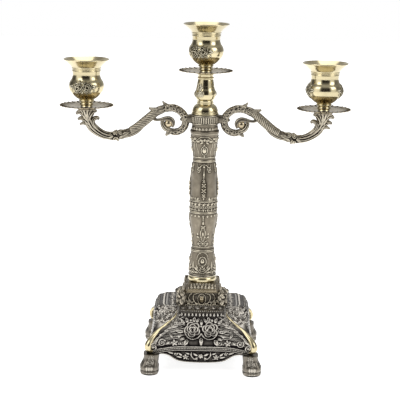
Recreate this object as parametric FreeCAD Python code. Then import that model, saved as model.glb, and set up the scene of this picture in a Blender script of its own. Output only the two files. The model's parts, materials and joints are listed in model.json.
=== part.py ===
import FreeCAD, Part
import math
import os

# Three-light tabletop candelabra, cast metal, in millimetres.
# Origin: middle of the footprint, on the surface it stands on. +Z up, arms along X, front towards -Y.

# ---- driving dimensions ----
ARM_REACH = 120.0        # column axis to outer cup axis
SIDE_DROP = 37.0         # outer cups stand this much lower than the middle one
CANDLE_BORE_R = 11.5     # socket for a 22 mm taper candle
CANDLE_DEPTH = 22.0
CUP_RIM_R = 23.0
PAN_R = 27.5
FOOT_SPREAD = 52.0       # foot centres from the middle, along X and along Y
FOOT_HALF = 9.6          # half width of a foot at its toe
FOOT_H = 21.0
PAD_T = 1.2              # felt pad under each foot
BASE_WALL = 2.6
SHAFT_WALL = 3.0

# heights of the stack that the tie rod clamps, from the surface up
BASE_TOP = 62.5
PLINTH_H = 21.5
RING_H = 6.0
COLUMN_FOOT_H = 28.0
LOWER_SHAFT_H = 41.0
BAND_H = 12.0
UPPER_SHAFT_H = 41.0
HEAD_H = 35.0
HUB_H = 12.3
DOME_H = 11.7
BALUSTER_H = 28.5
PAN_T = 1.5
CUP_WASHER_T = 0.5
CUP_H = 48.5

# threads and fasteners, as plain cylinders at their outer diameter
M6_R = 3.0
ROD_HOLE_R = 3.3
RUN_FIT = 0.05           # radial clearance of a cup on its stud
FACE_GAP = 0.02          # between two faces that turn on each other
STUD_OUT = 9.0           # stud above its seat
STUD_IN = 11.0           # stud below its seat
M4_R = 2.0
M4_HEAD_R = 3.7
M4_HEAD_T = 2.4

PLINTH_Z = BASE_TOP
RING_Z = PLINTH_Z + PLINTH_H
COLUMN_FOOT_Z = RING_Z + RING_H
LOWER_SHAFT_Z = COLUMN_FOOT_Z + COLUMN_FOOT_H
BAND_Z = LOWER_SHAFT_Z + LOWER_SHAFT_H
UPPER_SHAFT_Z = BAND_Z + BAND_H
HEAD_Z = UPPER_SHAFT_Z + UPPER_SHAFT_H
HUB_Z = HEAD_Z + HEAD_H
DOME_Z = HUB_Z + HUB_H
BALUSTER_Z = DOME_Z + DOME_H
CENTRE_SEAT_Z = BALUSTER_Z + BALUSTER_H
SIDE_SEAT_Z = CENTRE_SEAT_Z - SIDE_DROP

# cup stations: side name, axis x, height of the face that its pan sits on
STATIONS = [
    ("left", -ARM_REACH, SIDE_SEAT_Z),
    ("centre", 0.0, CENTRE_SEAT_Z),
    ("right", ARM_REACH, SIDE_SEAT_Z),
]

CORNERS = [
    ("front_left", -1, -1),
    ("front_right", 1, -1),
    ("back_left", -1, 1),
    ("back_right", 1, 1),
]

vec = FreeCAD.Vector
UP = vec(0, 0, 1)


# ---- shape helpers ----
def cylinder(radius, z0, z1, x=0.0, y=0.0):
    return Part.makeCylinder(radius, z1 - z0, vec(x, y, z0), UP)


def block(x0, x1, y0, y1, z0, z1):
    return Part.makeBox(x1 - x0, y1 - y0, z1 - z0, vec(x0, y0, z0))


def run_edge(points):
    """A straight edge through two points, or one smooth curve through more."""
    if len(points) == 2:
        return Part.LineSegment(points[0], points[1]).toShape()
    curve = Part.BSplineCurve()
    curve.interpolate(points)
    return curve.toShape()


def turned(*runs):
    """Solid of revolution about Z. Each run is a list of (radius, height); a straight edge closes them."""
    runs = list(runs)
    if runs[-1][-1] != runs[0][0]:
        runs.append([runs[-1][-1], runs[0][0]])
    edges = [run_edge([vec(r, 0, z) for r, z in run]) for run in runs]
    face = Part.Face(Part.Wire(edges))
    return face.revolve(vec(0, 0, 0), UP, 360)


def shell_segment(outer, height, top_wall=4.0):
    """A column casting: smooth outside, hollow from below, a top wall with the rod hole."""
    inner_r = min(r for r, z in outer) - SHAFT_WALL
    inside = height - top_wall
    return turned(
        outer,
        [outer[-1], (ROD_HOLE_R, height)],
        [(ROD_HOLE_R, height), (ROD_HOLE_R, inside)],
        [(ROD_HOLE_R, inside), (inner_r, inside)],
        [(inner_r, inside), (inner_r, 0.0)],
    )


def rounded_square(half, radius, z, cx=0.0, cy=0.0):
    """Closed wire of four sides and four corner arcs."""
    edges = []
    flat = half - radius
    for quarter in range(4):
        turn = FreeCAD.Rotation(UP, 90.0 * quarter)
        start = vec(half, -flat, 0)
        end = vec(half, flat, 0)
        bend = vec(flat + radius * math.cos(math.pi / 4), flat + radius * math.sin(math.pi / 4), 0)
        stop = vec(flat, half, 0)
        a, b, m, c = [turn.multVec(p) + vec(cx, cy, z) for p in (start, end, bend, stop)]
        edges.append(Part.LineSegment(a, b).toShape())
        edges.append(Part.Arc(b, m, c).toShape())
    return Part.Wire(edges)


def concave_square(corner, middle, z):
    """Closed wire of four arcs, each from corner to corner through the middle of its side."""
    edges = []
    for quarter in range(4):
        turn = FreeCAD.Rotation(UP, 90.0 * quarter)
        ends = (vec(corner, -corner, z), vec(middle, 0, z), vec(corner, corner, z))
        a, m, b = [turn.multVec(p) for p in ends]
        edges.append(Part.Arc(a, m, b).toShape())
    return Part.Wire(edges)


def pillow_square(corner, edge, edge_half, middle, z):
    """Closed wire of four bulging panels: a shallow arc between two edges, which stand `edge` from the middle
    of the base and `edge_half` off the panel's centre, with straight flanks back to the corners."""
    edges = []
    for quarter in range(4):
        turn = FreeCAD.Rotation(UP, 90.0 * quarter)
        outline = (vec(corner, -corner, z), vec(edge, -edge_half, z), vec(middle, 0, z),
                   vec(edge, edge_half, z), vec(corner, corner, z))
        a, b, m, c, d = [turn.multVec(p) for p in outline]
        edges.append(Part.LineSegment(a, b).toShape())
        edges.append(Part.Arc(b, m, c).toShape())
        edges.append(Part.LineSegment(c, d).toShape())
    return Part.Wire(edges)


def tube_along(stations):
    """Round bar in the XZ plane through (x, z, radius) stations."""
    wires = []
    last = len(stations) - 1
    for i, (x, z, radius) in enumerate(stations):
        before = stations[max(i - 1, 0)]
        after = stations[min(i + 1, last)]
        tangent = vec(after[0] - before[0], 0, after[1] - before[1])
        circle = Part.Circle(vec(x, 0, z), tangent, radius)
        wires.append(Part.Wire(circle.toShape()))
    return Part.makeLoft(wires, True, False)


def placed(shape, x=0.0, y=0.0, z=0.0):
    copy = shape.copy()
    copy.translate(vec(x, y, z))
    return copy


# ---- base ----
# plan sections of the bombe base: height, corner, edge of the panel (out, off centre), middle of the panel
BASE_SECTIONS = [
    (12.0, 53.2, 50.6, 42.0, 50.2),
    (22.0, 55.4, 52.6, 43.5, 52.0),
    (30.0, 56.0, 52.8, 44.0, 52.2),
    (36.5, 52.6, 50.6, 41.0, 51.0),
    (42.5, 44.6, 48.8, 36.5, 50.0),
    (46.2, 38.0, 47.6, 32.0, 49.6),
    (50.0, 30.0, 47.0, 26.5, 49.5),
    (55.0, 25.0, 46.4, 22.5, 49.0),
    (59.0, 24.6, 44.0, 21.5, 46.6),
    (61.4, 24.5, 41.4, 20.8, 44.0),
    (BASE_TOP, 24.4, 38.0, 19.8, 40.5),
]
APRON_FLAT = 19.5        # half width of the lowest, straight part of the apron
BOSS_R = 4.6
BOSS_AT = 48.5           # screw bosses, from the middle along X and along Y
ROOF_T = 3.0


def base_inside(roof):
    """The hollow under the base, one wall inside the outer sections."""
    wires = []
    for z, corner, edge, edge_half, middle in BASE_SECTIONS:
        if z < roof - 3.0:
            level = z if wires else z - 1.0
            wires.append(pillow_square(corner - 1.2 * BASE_WALL, edge - BASE_WALL, edge_half - BASE_WALL,
                                       middle - BASE_WALL, level))
    wires.append(pillow_square(21.2, 39.0, 18.0, 41.5, roof))
    return Part.makeLoft(wires, True, True)


def base_body():
    outer = Part.makeLoft([pillow_square(c, e, h, m, z) for z, c, e, h, m in BASE_SECTIONS], True, False)
    roof = BASE_TOP - ROOF_T
    body = outer.cut(base_inside(roof))
    for name, sx, sy in CORNERS:
        body = body.fuse(cylinder(BOSS_R, FOOT_H, FOOT_H + 11.0, sx * BOSS_AT, sy * BOSS_AT))
    body = body.cut(arch_cutter())
    for name, sx, sy in CORNERS:
        body = body.cut(cylinder(M4_R, FOOT_H - 1.0, FOOT_H + 9.5, sx * BOSS_AT, sy * BOSS_AT))
    return body.cut(cylinder(ROD_HOLE_R, roof - 1.0, BASE_TOP + 1.0))


def arch_cutter():
    """Takes the apron away beside the feet, up to the level of the feet's tops."""
    low = BASE_SECTIONS[0][0]
    reach = 70.0
    inside = 40.0
    cutter = None
    for side in (-1, 1):
        points = [vec(side * APRON_FLAT, -reach, low - 0.5), vec(side * 28.0, -reach, low + 5.2),
                  vec(side * 36.0, -reach, FOOT_H)]
        arch = Part.Arc(points[0], points[1], points[2]).toShape()
        corner_top = vec(side * reach, -reach, FOOT_H)
        corner_low = vec(side * reach, -reach, low - 0.5)
        wire = Part.Wire([
            arch,
            Part.LineSegment(points[2], corner_top).toShape(),
            Part.LineSegment(corner_top, corner_low).toShape(),
            Part.LineSegment(corner_low, points[0]).toShape(),
        ])
        prism = Part.Face(wire).extrude(vec(0, reach - inside, 0))
        for quarter in range(4):
            turned_prism = prism.copy()
            turned_prism.rotate(vec(0, 0, 0), UP, 90.0 * quarter)
            cutter = turned_prism if cutter is None else cutter.fuse(turned_prism)
    return cutter


def foot(sx, sy):
    """Paw foot casting with a counterbored hole for its screw from below."""
    x = sx * FOOT_SPREAD
    y = sy * FOOT_SPREAD
    levels = [(PAD_T, FOOT_HALF - 0.7), (3.6, FOOT_HALF), (7.0, FOOT_HALF - 0.6), (13.0, FOOT_HALF - 1.6),
              (FOOT_H, FOOT_HALF - 1.4)]
    paw = Part.makeLoft([rounded_square(half, 4.5, z, x, y) for z, half in levels], True, False)
    hole_x = sx * BOSS_AT
    hole_y = sy * BOSS_AT
    paw = paw.cut(cylinder(M4_R + 0.2, 0.0, FOOT_H + 1.0, hole_x, hole_y))
    return paw.cut(cylinder(M4_HEAD_R + 0.4, 0.0, PAD_T + M4_HEAD_T + 0.6, hole_x, hole_y))


def foot_screw(sx, sy):
    x = sx * BOSS_AT
    y = sy * BOSS_AT
    head_top = PAD_T + M4_HEAD_T + 0.6
    head = cylinder(M4_HEAD_R, head_top - M4_HEAD_T, head_top, x, y)
    return head.fuse(cylinder(M4_R, head_top, FOOT_H + 9.0, x, y)).removeSplitter()


def plinth():
    """Die with hollowed sides and a bracket on each corner, a plate, and a flare up to the column. The front
    brackets rise to the plate, the back ones stay low."""
    plate_z = BASE_TOP + 12.5
    plate_h = 4.0
    flare_z = plate_z + plate_h
    die_levels = [(0.0, 24.2, 21.2), (4.0, 23.0, 19.4), (8.0, 21.6, 18.8), (12.5, 20.2, 18.2)]
    die = Part.makeLoft([concave_square(c, m, BASE_TOP + z) for z, c, m in die_levels], True, False)
    plate_wires = [rounded_square(18.8, 1.2, plate_z), rounded_square(18.8, 1.2, flare_z)]
    flare_levels = [(0.0, 17.8, 17.2), (1.6, 17.2, 14.6), (3.4, 16.8, 13.1), (5.0, 16.6, 12.6)]
    flare = Part.makeLoft([concave_square(c, m, flare_z + z) for z, c, m in flare_levels], True, False)
    body = die.fuse(Part.makeLoft(plate_wires, True, True)).fuse(flare)
    front_levels = [(0.0, 22.0, 2.4), (6.0, 21.6, 2.3), (12.0, 21.8, 2.2), (16.5, 22.6, 2.2)]
    back_levels = [(0.0, 22.0, 2.4), (5.5, 21.8, 2.2)]
    for name, sx, sy in CORNERS:
        levels = front_levels if sy < 0 else back_levels
        wires = [rounded_square(half, half * 0.5, BASE_TOP + z, sx * out, sy * out) for z, out, half in levels]
        body = body.fuse(Part.makeLoft(wires, True, False))
    hollow = block(-14.0, 14.0, -14.0, 14.0, BASE_TOP - 1.0, BASE_TOP + 12.0)
    return body.removeSplitter().cut(hollow).cut(cylinder(ROD_HOLE_R, BASE_TOP, RING_Z + 1.0))


# ---- column ----
def column_base_ring():
    outer = [(13.2, 0.0), (14.3, 1.0), (14.6, 3.0), (14.3, 5.0), (13.6, RING_H)]
    return shell_segment(outer, RING_H, 3.0)


def column_foot():
    outer = [(14.0, 0.0), (14.1, 6.0), (13.5, 11.0), (13.0, 17.0), (12.2, 23.0), (12.2, COLUMN_FOOT_H)]
    return shell_segment(outer, COLUMN_FOOT_H)


def column_lower_shaft():
    outer = [(12.3, 0.0), (11.4, 4.0), (11.2, 9.0), (11.6, 15.0), (13.0, 24.0), (14.3, 32.0),
             (14.3, LOWER_SHAFT_H)]
    return shell_segment(outer, LOWER_SHAFT_H)


def column_band():
    outer = [(14.2, 0.0), (14.9, 2.0), (14.5, 6.0), (14.9, 10.0), (14.2, BAND_H)]
    return shell_segment(outer, BAND_H)


def column_upper_shaft():
    outer = [(13.9, 0.0), (13.9, 5.0), (13.5, 15.0), (13.3, 24.0), (12.6, 33.0), (11.9, UPPER_SHAFT_H)]
    return shell_segment(outer, UPPER_SHAFT_H)


def column_head():
    outer = [(11.8, 0.0), (11.7, 8.0), (12.5, 14.0), (13.7, 22.0), (14.3, 27.0), (15.1, 30.5),
             (13.4, HEAD_H)]
    return shell_segment(outer, HEAD_H)


# ---- hub and arms ----
HUB_R = 14.35
HUB_INNER_R = 11.0
HUB_FLOOR = 2.5
LUG_Z = HUB_Z + 7.0      # height of the arm screws


def hub_ring():
    """Collar that carries both arms: a floor on the column, an open top under the dome."""
    collar = turned(
        [(ROD_HOLE_R, 0.0), (13.2, 0.0)],
        [(13.2, 0.0), (13.2, HUB_FLOOR - 0.5)],
        [(13.2, HUB_FLOOR - 0.5), (HUB_R, HUB_FLOOR)],
        [(HUB_R, HUB_FLOOR), (HUB_R, HUB_H)],
        [(HUB_R, HUB_H), (HUB_INNER_R, HUB_H)],
        [(HUB_INNER_R, HUB_H), (HUB_INNER_R, HUB_FLOOR)],
        [(HUB_INNER_R, HUB_FLOOR), (ROD_HOLE_R, HUB_FLOOR)],
    )
    collar.translate(vec(0, 0, HUB_Z))
    screw_way = Part.makeCylinder(M4_R + 0.2, 40.0, vec(-20, 0, LUG_Z), vec(1, 0, 0))
    return collar.cut(screw_way)


# centre line of an arm from the cup seat to the scroll's end: x, z, bar radius
ARM_LINE = [
    (-ARM_REACH, 255.0, 4.4),
    (-118.2, 248.8, 4.2),
    (-114.0, 242.9, 4.2),
    (-107.0, 238.0, 4.0),
    (-98.0, 235.1, 3.9),
    (-89.0, 235.4, 4.5),
    (-80.0, 237.9, 4.1),
    (-70.0, 243.4, 4.2),
    (-60.0, 251.4, 4.3),
    (-50.5, 259.4, 4.2),
    (-42.0, 263.6, 4.0),
    (-33.5, 264.8, 3.8),
    (-27.2, 263.2, 3.9),
    (-22.6, 259.4, 4.1),
    (-20.2, 254.6, 4.3),
    (-20.3, 249.4, 3.7),
    (-22.4, 244.9, 3.6),
    (-26.2, 241.7, 3.6),
    (-31.2, 240.5, 3.5),
    (-36.2, 241.8, 3.2),
    (-39.6, 245.0, 2.6),
]
SCROLL_BALL = (-37.3, 249.7, 4.7)
SCROLL_TAIL = [(-38.5, 253.6, 1.8), (-44.0, 253.2, 1.4), (-49.0, 253.4, 1.1), (-53.0, 255.2, 1.0)]


def left_arm():
    """One casting: leaf cup, S-shaped bar, C scroll with its ball, and the lug against the hub."""
    bar = tube_along(ARM_LINE)
    seat = turned(
        [(0.0, 253.0), (4.4, 253.0)],
        [(4.4, 253.0), (5.6, 256.5), (8.4, 260.5), (8.6, SIDE_SEAT_Z)],
        [(8.6, SIDE_SEAT_Z), (0.0, SIDE_SEAT_Z)],
    )
    seat.translate(vec(-ARM_REACH, 0, 0))
    ball_x, ball_z, ball_r = SCROLL_BALL
    ball = Part.makeSphere(ball_r, vec(ball_x, 0, ball_z))
    lug = block(-20.0, -13.0, -3.8, 3.8, LUG_Z - 3.6, LUG_Z + 3.6).cut(cylinder(HUB_R, HUB_Z, DOME_Z))
    arm = bar.fuse([seat, ball, tube_along(SCROLL_TAIL), lug]).removeSplitter()
    arm = arm.cut(cylinder(M6_R, SIDE_SEAT_Z - STUD_IN, SIDE_SEAT_Z + 1.0, -ARM_REACH))
    tapped = Part.makeCylinder(M4_R, 8.0, vec(-HUB_R + 1.0, 0, LUG_Z), vec(-1, 0, 0))
    return arm.cut(tapped)


def opposite(shape):
    """The same casting on the other side of the column."""
    copy = shape.copy()
    copy.rotate(vec(0, 0, 0), UP, 180.0)
    return copy


def arm_screw():
    head_face = 10.3
    head = Part.makeCylinder(M4_HEAD_R, M4_HEAD_T, vec(M4_HEAD_T - head_face, 0, LUG_Z), vec(-1, 0, 0))
    shank = Part.makeCylinder(M4_R, 9.5, vec(-head_face, 0, LUG_Z), vec(-1, 0, 0))
    return head.fuse(shank).removeSplitter()


# ---- above the hub ----
def dome():
    outer = [(13.7, 0.0), (13.2, 2.6), (12.5, 5.4), (11.4, 7.6), (9.6, 9.4), (8.1, DOME_H)]
    wall = 2.4
    return turned(
        [(HUB_INNER_R, 0.0), (13.7, 0.0)],
        outer,
        [(8.1, DOME_H), (ROD_HOLE_R, DOME_H)],
        [(ROD_HOLE_R, DOME_H), (ROD_HOLE_R, DOME_H - wall)],
        [(ROD_HOLE_R, DOME_H - wall), (6.4, DOME_H - wall)],
        [(6.4, DOME_H - wall), (9.6, 5.4), (HUB_INNER_R, 0.0)],
    )


def baluster():
    outer = [(8.0, 0.0), (8.6, 1.8), (9.8, 4.0), (10.8, 8.0), (10.4, 11.5), (9.1, 14.5), (8.7, 19.0),
             (8.0, 23.0), (7.9, BALUSTER_H)]
    body = turned([(0.0, 0.0), (8.0, 0.0)], outer, [(7.9, BALUSTER_H), (0.0, BALUSTER_H)])
    body = body.cut(cylinder(M6_R, -1.0, 13.0))
    return body.cut(cylinder(M6_R, BALUSTER_H - STUD_IN, BALUSTER_H + 1.0))


ROD_LOW = 51.0
NUT_H = 5.0
ROD_WASHER_T = 1.6


def tie_rod():
    return cylinder(M6_R, ROD_LOW, BALUSTER_Z + 12.5)


def tie_rod_washer():
    top = BASE_TOP - ROOF_T
    return cylinder(9.0, top - ROD_WASHER_T, top).cut(cylinder(ROD_HOLE_R, top - 5.0, top + 1.0))


def tie_rod_nut():
    top = BASE_TOP - ROOF_T - ROD_WASHER_T
    across_corners = 11.5
    corners = [vec(across_corners / 2 * math.cos(math.radians(60 * k)),
                   across_corners / 2 * math.sin(math.radians(60 * k)), top - NUT_H) for k in range(7)]
    prism = Part.Face(Part.makePolygon(corners)).extrude(vec(0, 0, NUT_H))
    return prism.cut(cylinder(M6_R, top - NUT_H - 1.0, top + 1.0))


# ---- candle cups, drip pans and their studs ----
def drip_pan():
    """Thin dished disc with a flat well in the middle, clamped under the cup."""
    under = [(8.6, 0.0), (11.5, 0.5), (15.5, 1.7), (21.0, 2.4), (PAN_R, 3.0)]
    top = [(PAN_R, 3.9), (21.0, 3.4), (15.5, 2.9), (11.5, 2.1), (8.6, PAN_T)]
    return turned(
        [(M6_R + 0.2, 0.0), (8.6, 0.0)],
        under,
        [(PAN_R, 3.0), (PAN_R, 3.9)],
        top,
        [(8.6, PAN_T), (M6_R + 0.2, PAN_T)],
    )


def cup_washer():
    return cylinder(5.6, 0.0, CUP_WASHER_T - 2 * FACE_GAP).cut(cylinder(M6_R + RUN_FIT, -1.0, 1.0))


def cup_stud():
    return cylinder(M6_R, -STUD_IN, PAN_T + STUD_OUT)


def candle_cup():
    """Vase-shaped cup: ringed foot, round belly, waisted neck and a wide turned lip."""
    floor = CUP_H - 10.5 - CANDLE_DEPTH
    foot_rings = [(6.1, 0.0), (6.0, 1.4), (6.9, 3.2), (6.1, 4.7), (7.7, 6.2), (7.2, 7.4)]
    body = [(7.2, 7.4), (9.4, 8.6), (12.2, 10.8), (15.2, 14.0), (17.0, 17.0), (17.7, 21.0),
            (16.9, 25.0), (14.9, 28.3), (13.9, 32.0), (14.2, 36.0), (15.4, 40.0), (18.4, 43.6),
            (CUP_RIM_R, CUP_H - 0.9)]
    mouth = [(CUP_RIM_R - 0.9, CUP_H), (18.0, 45.2), (14.2, 41.6), (CANDLE_BORE_R, 38.0)]
    shell = turned(
        [(0.0, 0.0), (6.1, 0.0)],
        foot_rings,
        body,
        [(CUP_RIM_R, CUP_H - 0.9), (CUP_RIM_R - 0.9, CUP_H)],
        mouth,
        [(CANDLE_BORE_R, 38.0), (CANDLE_BORE_R, floor)],
        [(CANDLE_BORE_R, floor), (0.0, floor)],
    )
    return shell.cut(cylinder(M6_R + RUN_FIT, -1.0, STUD_OUT + 0.5))


# ---- write one STEP per node ----
def export(name, shapes):
    shape = shapes[0] if len(shapes) == 1 else Part.makeCompound(shapes)
    solids = shape.Solids
    for solid in solids:
        if not solid.isValid() or solid.Volume <= 0:
            raise ValueError(name + " is not a valid solid")
    if len(solids) != len(shapes):
        raise ValueError("%s has %d solids, not %d" % (name, len(solids), len(shapes)))
    shape.exportStep("parts/%s.step" % name)
    box = shape.BoundBox
    print("%-20s %7.1f mm3  x %.1f..%.1f  y %.1f..%.1f  z %.1f..%.1f" % (
        name, shape.Volume, box.XMin, box.XMax, box.YMin, box.YMax, box.ZMin, box.ZMax))


def main():
    os.makedirs("parts", exist_ok=True)
    export("base_body", [base_body()])
    for name, sx, sy in CORNERS:
        export("foot_" + name, [foot(sx, sy)])
    export("foot_screws", [foot_screw(sx, sy) for name, sx, sy in CORNERS])
    export("foot_pads", [cylinder(8.4, 0.0, PAD_T, sx * FOOT_SPREAD, sy * FOOT_SPREAD)
                         for name, sx, sy in CORNERS])
    export("plinth", [plinth()])

    stack = [
        ("column_base_ring", column_base_ring(), RING_Z),
        ("column_foot", column_foot(), COLUMN_FOOT_Z),
        ("column_lower_shaft", column_lower_shaft(), LOWER_SHAFT_Z),
        ("column_band", column_band(), BAND_Z),
        ("column_upper_shaft", column_upper_shaft(), UPPER_SHAFT_Z),
        ("column_head", column_head(), HEAD_Z),
        ("dome", dome(), DOME_Z),
        ("baluster", baluster(), BALUSTER_Z),
    ]
    for name, shape, z in stack:
        export(name, [placed(shape, z=z)])

    export("hub_ring", [hub_ring()])
    arm = left_arm()
    export("left_arm", [arm])
    export("right_arm", [opposite(arm)])
    export("arm_screws", [arm_screw(), opposite(arm_screw())])
    export("tie_rod", [tie_rod()])
    export("tie_rod_washer", [tie_rod_washer()])
    export("tie_rod_nut", [tie_rod_nut()])

    for side, x, seat in STATIONS:
        export(side + "_drip_pan", [placed(drip_pan(), x, z=seat)])
        export(side + "_cup_stud", [placed(cup_stud(), x, z=seat)])
        export(side + "_cup_washer", [placed(cup_washer(), x, z=seat + PAN_T + FACE_GAP)])
        export(side + "_candle_cup", [placed(candle_cup(), x, z=seat + PAN_T + CUP_WASHER_T)])


main()
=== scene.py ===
import json
import math

import bpy
import numpy as np
from mathutils import Matrix, Vector

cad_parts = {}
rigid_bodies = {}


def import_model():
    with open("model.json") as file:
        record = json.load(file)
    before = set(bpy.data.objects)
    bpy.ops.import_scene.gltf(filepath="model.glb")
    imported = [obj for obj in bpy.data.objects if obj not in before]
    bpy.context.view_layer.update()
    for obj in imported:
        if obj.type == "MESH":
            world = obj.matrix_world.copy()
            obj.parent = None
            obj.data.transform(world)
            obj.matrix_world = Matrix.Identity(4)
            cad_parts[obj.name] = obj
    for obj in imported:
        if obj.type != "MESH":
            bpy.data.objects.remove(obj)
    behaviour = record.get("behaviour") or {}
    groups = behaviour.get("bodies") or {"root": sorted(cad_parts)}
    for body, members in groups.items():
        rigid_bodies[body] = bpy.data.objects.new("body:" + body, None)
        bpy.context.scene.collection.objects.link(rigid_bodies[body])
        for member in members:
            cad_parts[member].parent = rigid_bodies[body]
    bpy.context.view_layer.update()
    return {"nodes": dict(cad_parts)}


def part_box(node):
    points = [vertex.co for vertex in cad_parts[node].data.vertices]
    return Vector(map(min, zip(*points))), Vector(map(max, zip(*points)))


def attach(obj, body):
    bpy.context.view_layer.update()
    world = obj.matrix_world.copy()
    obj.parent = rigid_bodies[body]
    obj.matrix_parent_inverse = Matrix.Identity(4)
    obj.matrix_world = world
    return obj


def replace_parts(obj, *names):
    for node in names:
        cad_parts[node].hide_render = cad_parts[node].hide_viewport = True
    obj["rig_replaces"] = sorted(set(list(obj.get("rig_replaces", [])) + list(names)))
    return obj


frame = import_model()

# Three-light tabletop candelabra. The helpers work in millimetres, and meshes are written in metres.
MM = 0.001
CANVAS_RES = 8.0         # relief canvas cells per millimetre
TAU = 2 * math.pi
UP = math.pi / 2         # a leaf's angle on a relief canvas
DOWN = -math.pi / 2
BORE_R = 3.4             # bore of the column for its rod, and of the pans for their studs
STATIONS = ("left", "centre", "right")
CORNERS = {"front_left": (-1, -1), "front_right": (1, -1), "back_left": (-1, 1), "back_right": (1, 1)}


def node_box(name):
    """A CAD node's lowest and highest corner, in millimetres."""
    low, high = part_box(name)
    return np.array(low) / MM, np.array(high) / MM


# ---- relief canvas: a height field in millimetres that motifs are pressed into ----
class Relief:
    """Heights over a flat sheet. x runs along the surface and y up it. A wrapping sheet repeats in x."""

    def __init__(self, x0, x1, y0, y1, wraps=False):
        self.x0, self.x1, self.y0, self.y1 = x0, x1, y0, y1
        self.wraps = wraps
        self.nx = max(8, int(round((x1 - x0) * CANVAS_RES)))
        self.ny = max(8, int(round((y1 - y0) * CANVAS_RES)))
        self.dx = (x1 - x0) / self.nx
        self.dy = (y1 - y0) / self.ny
        self.h = np.zeros((self.ny, self.nx))

    def row_heights(self):
        return self.y0 + (np.arange(self.ny) + 0.5) * self.dy

    def window(self, x, y, reach):
        """Cells within reach of a point, with their offsets from it."""
        i0 = int(math.floor((x - reach - self.x0) / self.dx))
        i1 = int(math.ceil((x + reach - self.x0) / self.dx)) + 1
        j0 = max(0, int(math.floor((y - reach - self.y0) / self.dy)))
        j1 = min(self.ny, int(math.ceil((y + reach - self.y0) / self.dy)) + 1)
        if not self.wraps:
            i0, i1 = max(0, i0), min(self.nx, i1)
        cols = np.arange(i0, i1)
        rows = np.arange(j0, j1)
        px = self.x0 + (cols + 0.5) * self.dx - x
        py = self.y0 + (rows + 0.5) * self.dy - y
        gx, gy = np.meshgrid(px, py)
        return np.ix_(rows, cols % self.nx), gx, gy

    def put(self, where, height):
        self.h[where] = np.maximum(self.h[where], height)

    def dome(self, x, y, rx, ry=None, h=0.8, angle=0.0):
        """A rounded button."""
        ry = ry or rx
        where, gx, gy = self.window(x, y, max(rx, ry))
        c, s = math.cos(angle), math.sin(angle)
        d2 = ((gx * c + gy * s) / rx) ** 2 + ((gy * c - gx * s) / ry) ** 2
        self.put(where, np.where(d2 < 1, h * np.sqrt(np.clip(1 - d2, 0, 1)), 0))

    def ring(self, x, y, r, w, h=0.6, ry=None):
        """A round or oval bead line of half width w."""
        ry = ry or r
        where, gx, gy = self.window(x, y, max(r, ry) + w)
        d = (np.sqrt((gx / r) ** 2 + (gy / ry) ** 2) - 1) * (r + ry) / 2
        self.put(where, np.where(np.abs(d) < w, h * np.sqrt(np.clip(1 - (d / w) ** 2, 0, 1)), 0))

    def stroke(self, points, w0, w1=None, h=0.6, h1=None):
        """A rounded ridge along a smooth curve through the points, tapering from w0 to w1."""
        w1 = w0 if w1 is None else w1
        h1 = h if h1 is None else h1
        path = smooth_path(points, 0.35 * max(min(w0, w1), 0.25))
        last = max(len(path) - 1, 1)
        for k, (x, y) in enumerate(path):
            t = k / last
            self.dome(x, y, w0 + (w1 - w0) * t, h=h + (h1 - h) * t)

    def leaf(self, x, y, angle, length, width, h=0.8, veins=5):
        """A pointed leaf from its stalk end: raised edges, a cut midrib and side veins."""
        c, n = math.cos(angle), math.sin(angle)
        where, gx, gy = self.window(x + 0.5 * length * c, y + 0.5 * length * n, length * 0.75)
        gx = gx + 0.5 * length * c
        gy = gy + 0.5 * length * n
        s = (gx * c + gy * n) / length
        t = gy * c - gx * n
        inside = (s > 0) & (s < 1)
        half = width / 2 * np.sin(math.pi * np.clip(s, 0, 1) ** 0.75) ** 0.8 + 1e-6
        q = np.abs(t) / half
        body = np.sqrt(np.clip(1 - q ** 2, 0, 1)) * (0.6 + 0.4 * np.clip(1 - np.abs(s - 0.45) * 1.6, 0, 1))
        midrib = np.exp(-(t / (0.09 * width + 0.08)) ** 2)
        side = 0.5 + 0.5 * np.cos(TAU * (veins * s - 1.1 * q))
        height = h * (body * (1 - 0.45 * midrib) - 0.16 * side * (q < 0.95) * (q > 0.12))
        self.put(where, np.where(inside & (q < 1), np.maximum(height, 0.02), 0))

    def rose(self, x, y, r, h=1.2, turn=0.0):
        """An open rose: overlapping cupped petals in three rounds, round a deep heart."""
        where, gx, gy = self.window(x, y, r * 1.08)
        height = np.zeros(gx.shape)
        rounds = ((5, 0.54, 0.46, 0.22, 0.0), (4, 0.33, 0.38, 0.42, 0.5), (3, 0.16, 0.27, 0.62, 1.1))
        for petals, away, reach, level, phase in rounds:
            for k in range(petals):
                a = turn + phase + TAU * k / petals
                d = np.hypot(gx - away * r * math.cos(a), gy - away * r * math.sin(a)) / (reach * r)
                crease = 0.55 * np.exp(-((1 - d) / 0.07) ** 2) * (d > 0.97)
                cupped = level + 0.06 + 0.42 * np.clip(d, 0, 1) ** 4 - crease
                height = np.where(d < 1, cupped, height)
        height = height - 0.75 * np.exp(-(np.hypot(gx, gy) / (0.15 * r)) ** 2)
        self.put(where, h * np.maximum(height, 0.02) * (np.hypot(gx, gy) < r))

    def floret(self, x, y, r, h=0.8, petals=5, turn=0.3):
        for k in range(petals):
            a = turn + TAU * k / petals
            self.dome(x + 0.58 * r * math.cos(a), y + 0.58 * r * math.sin(a), 0.44 * r, 0.3 * r, h, a)
        self.dome(x, y, 0.28 * r, h=h * 1.1)

    def scroll(self, x, y, r, turns=1.6, start=0.0, way=1, w=0.5, h=0.7):
        """A volute that winds in to an eye."""
        steps = max(12, int(18 * turns))
        points = []
        for k in range(steps + 1):
            t = k / steps
            rr = r * (1 - 0.82 * t)
            a = start + way * TAU * turns * t
            points.append((x + rr * math.cos(a), y + rr * math.sin(a)))
        self.stroke(points, w, w * 0.55, h, h * 0.9)
        self.dome(x, y, w * 1.25, h=h * 1.15)

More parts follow.
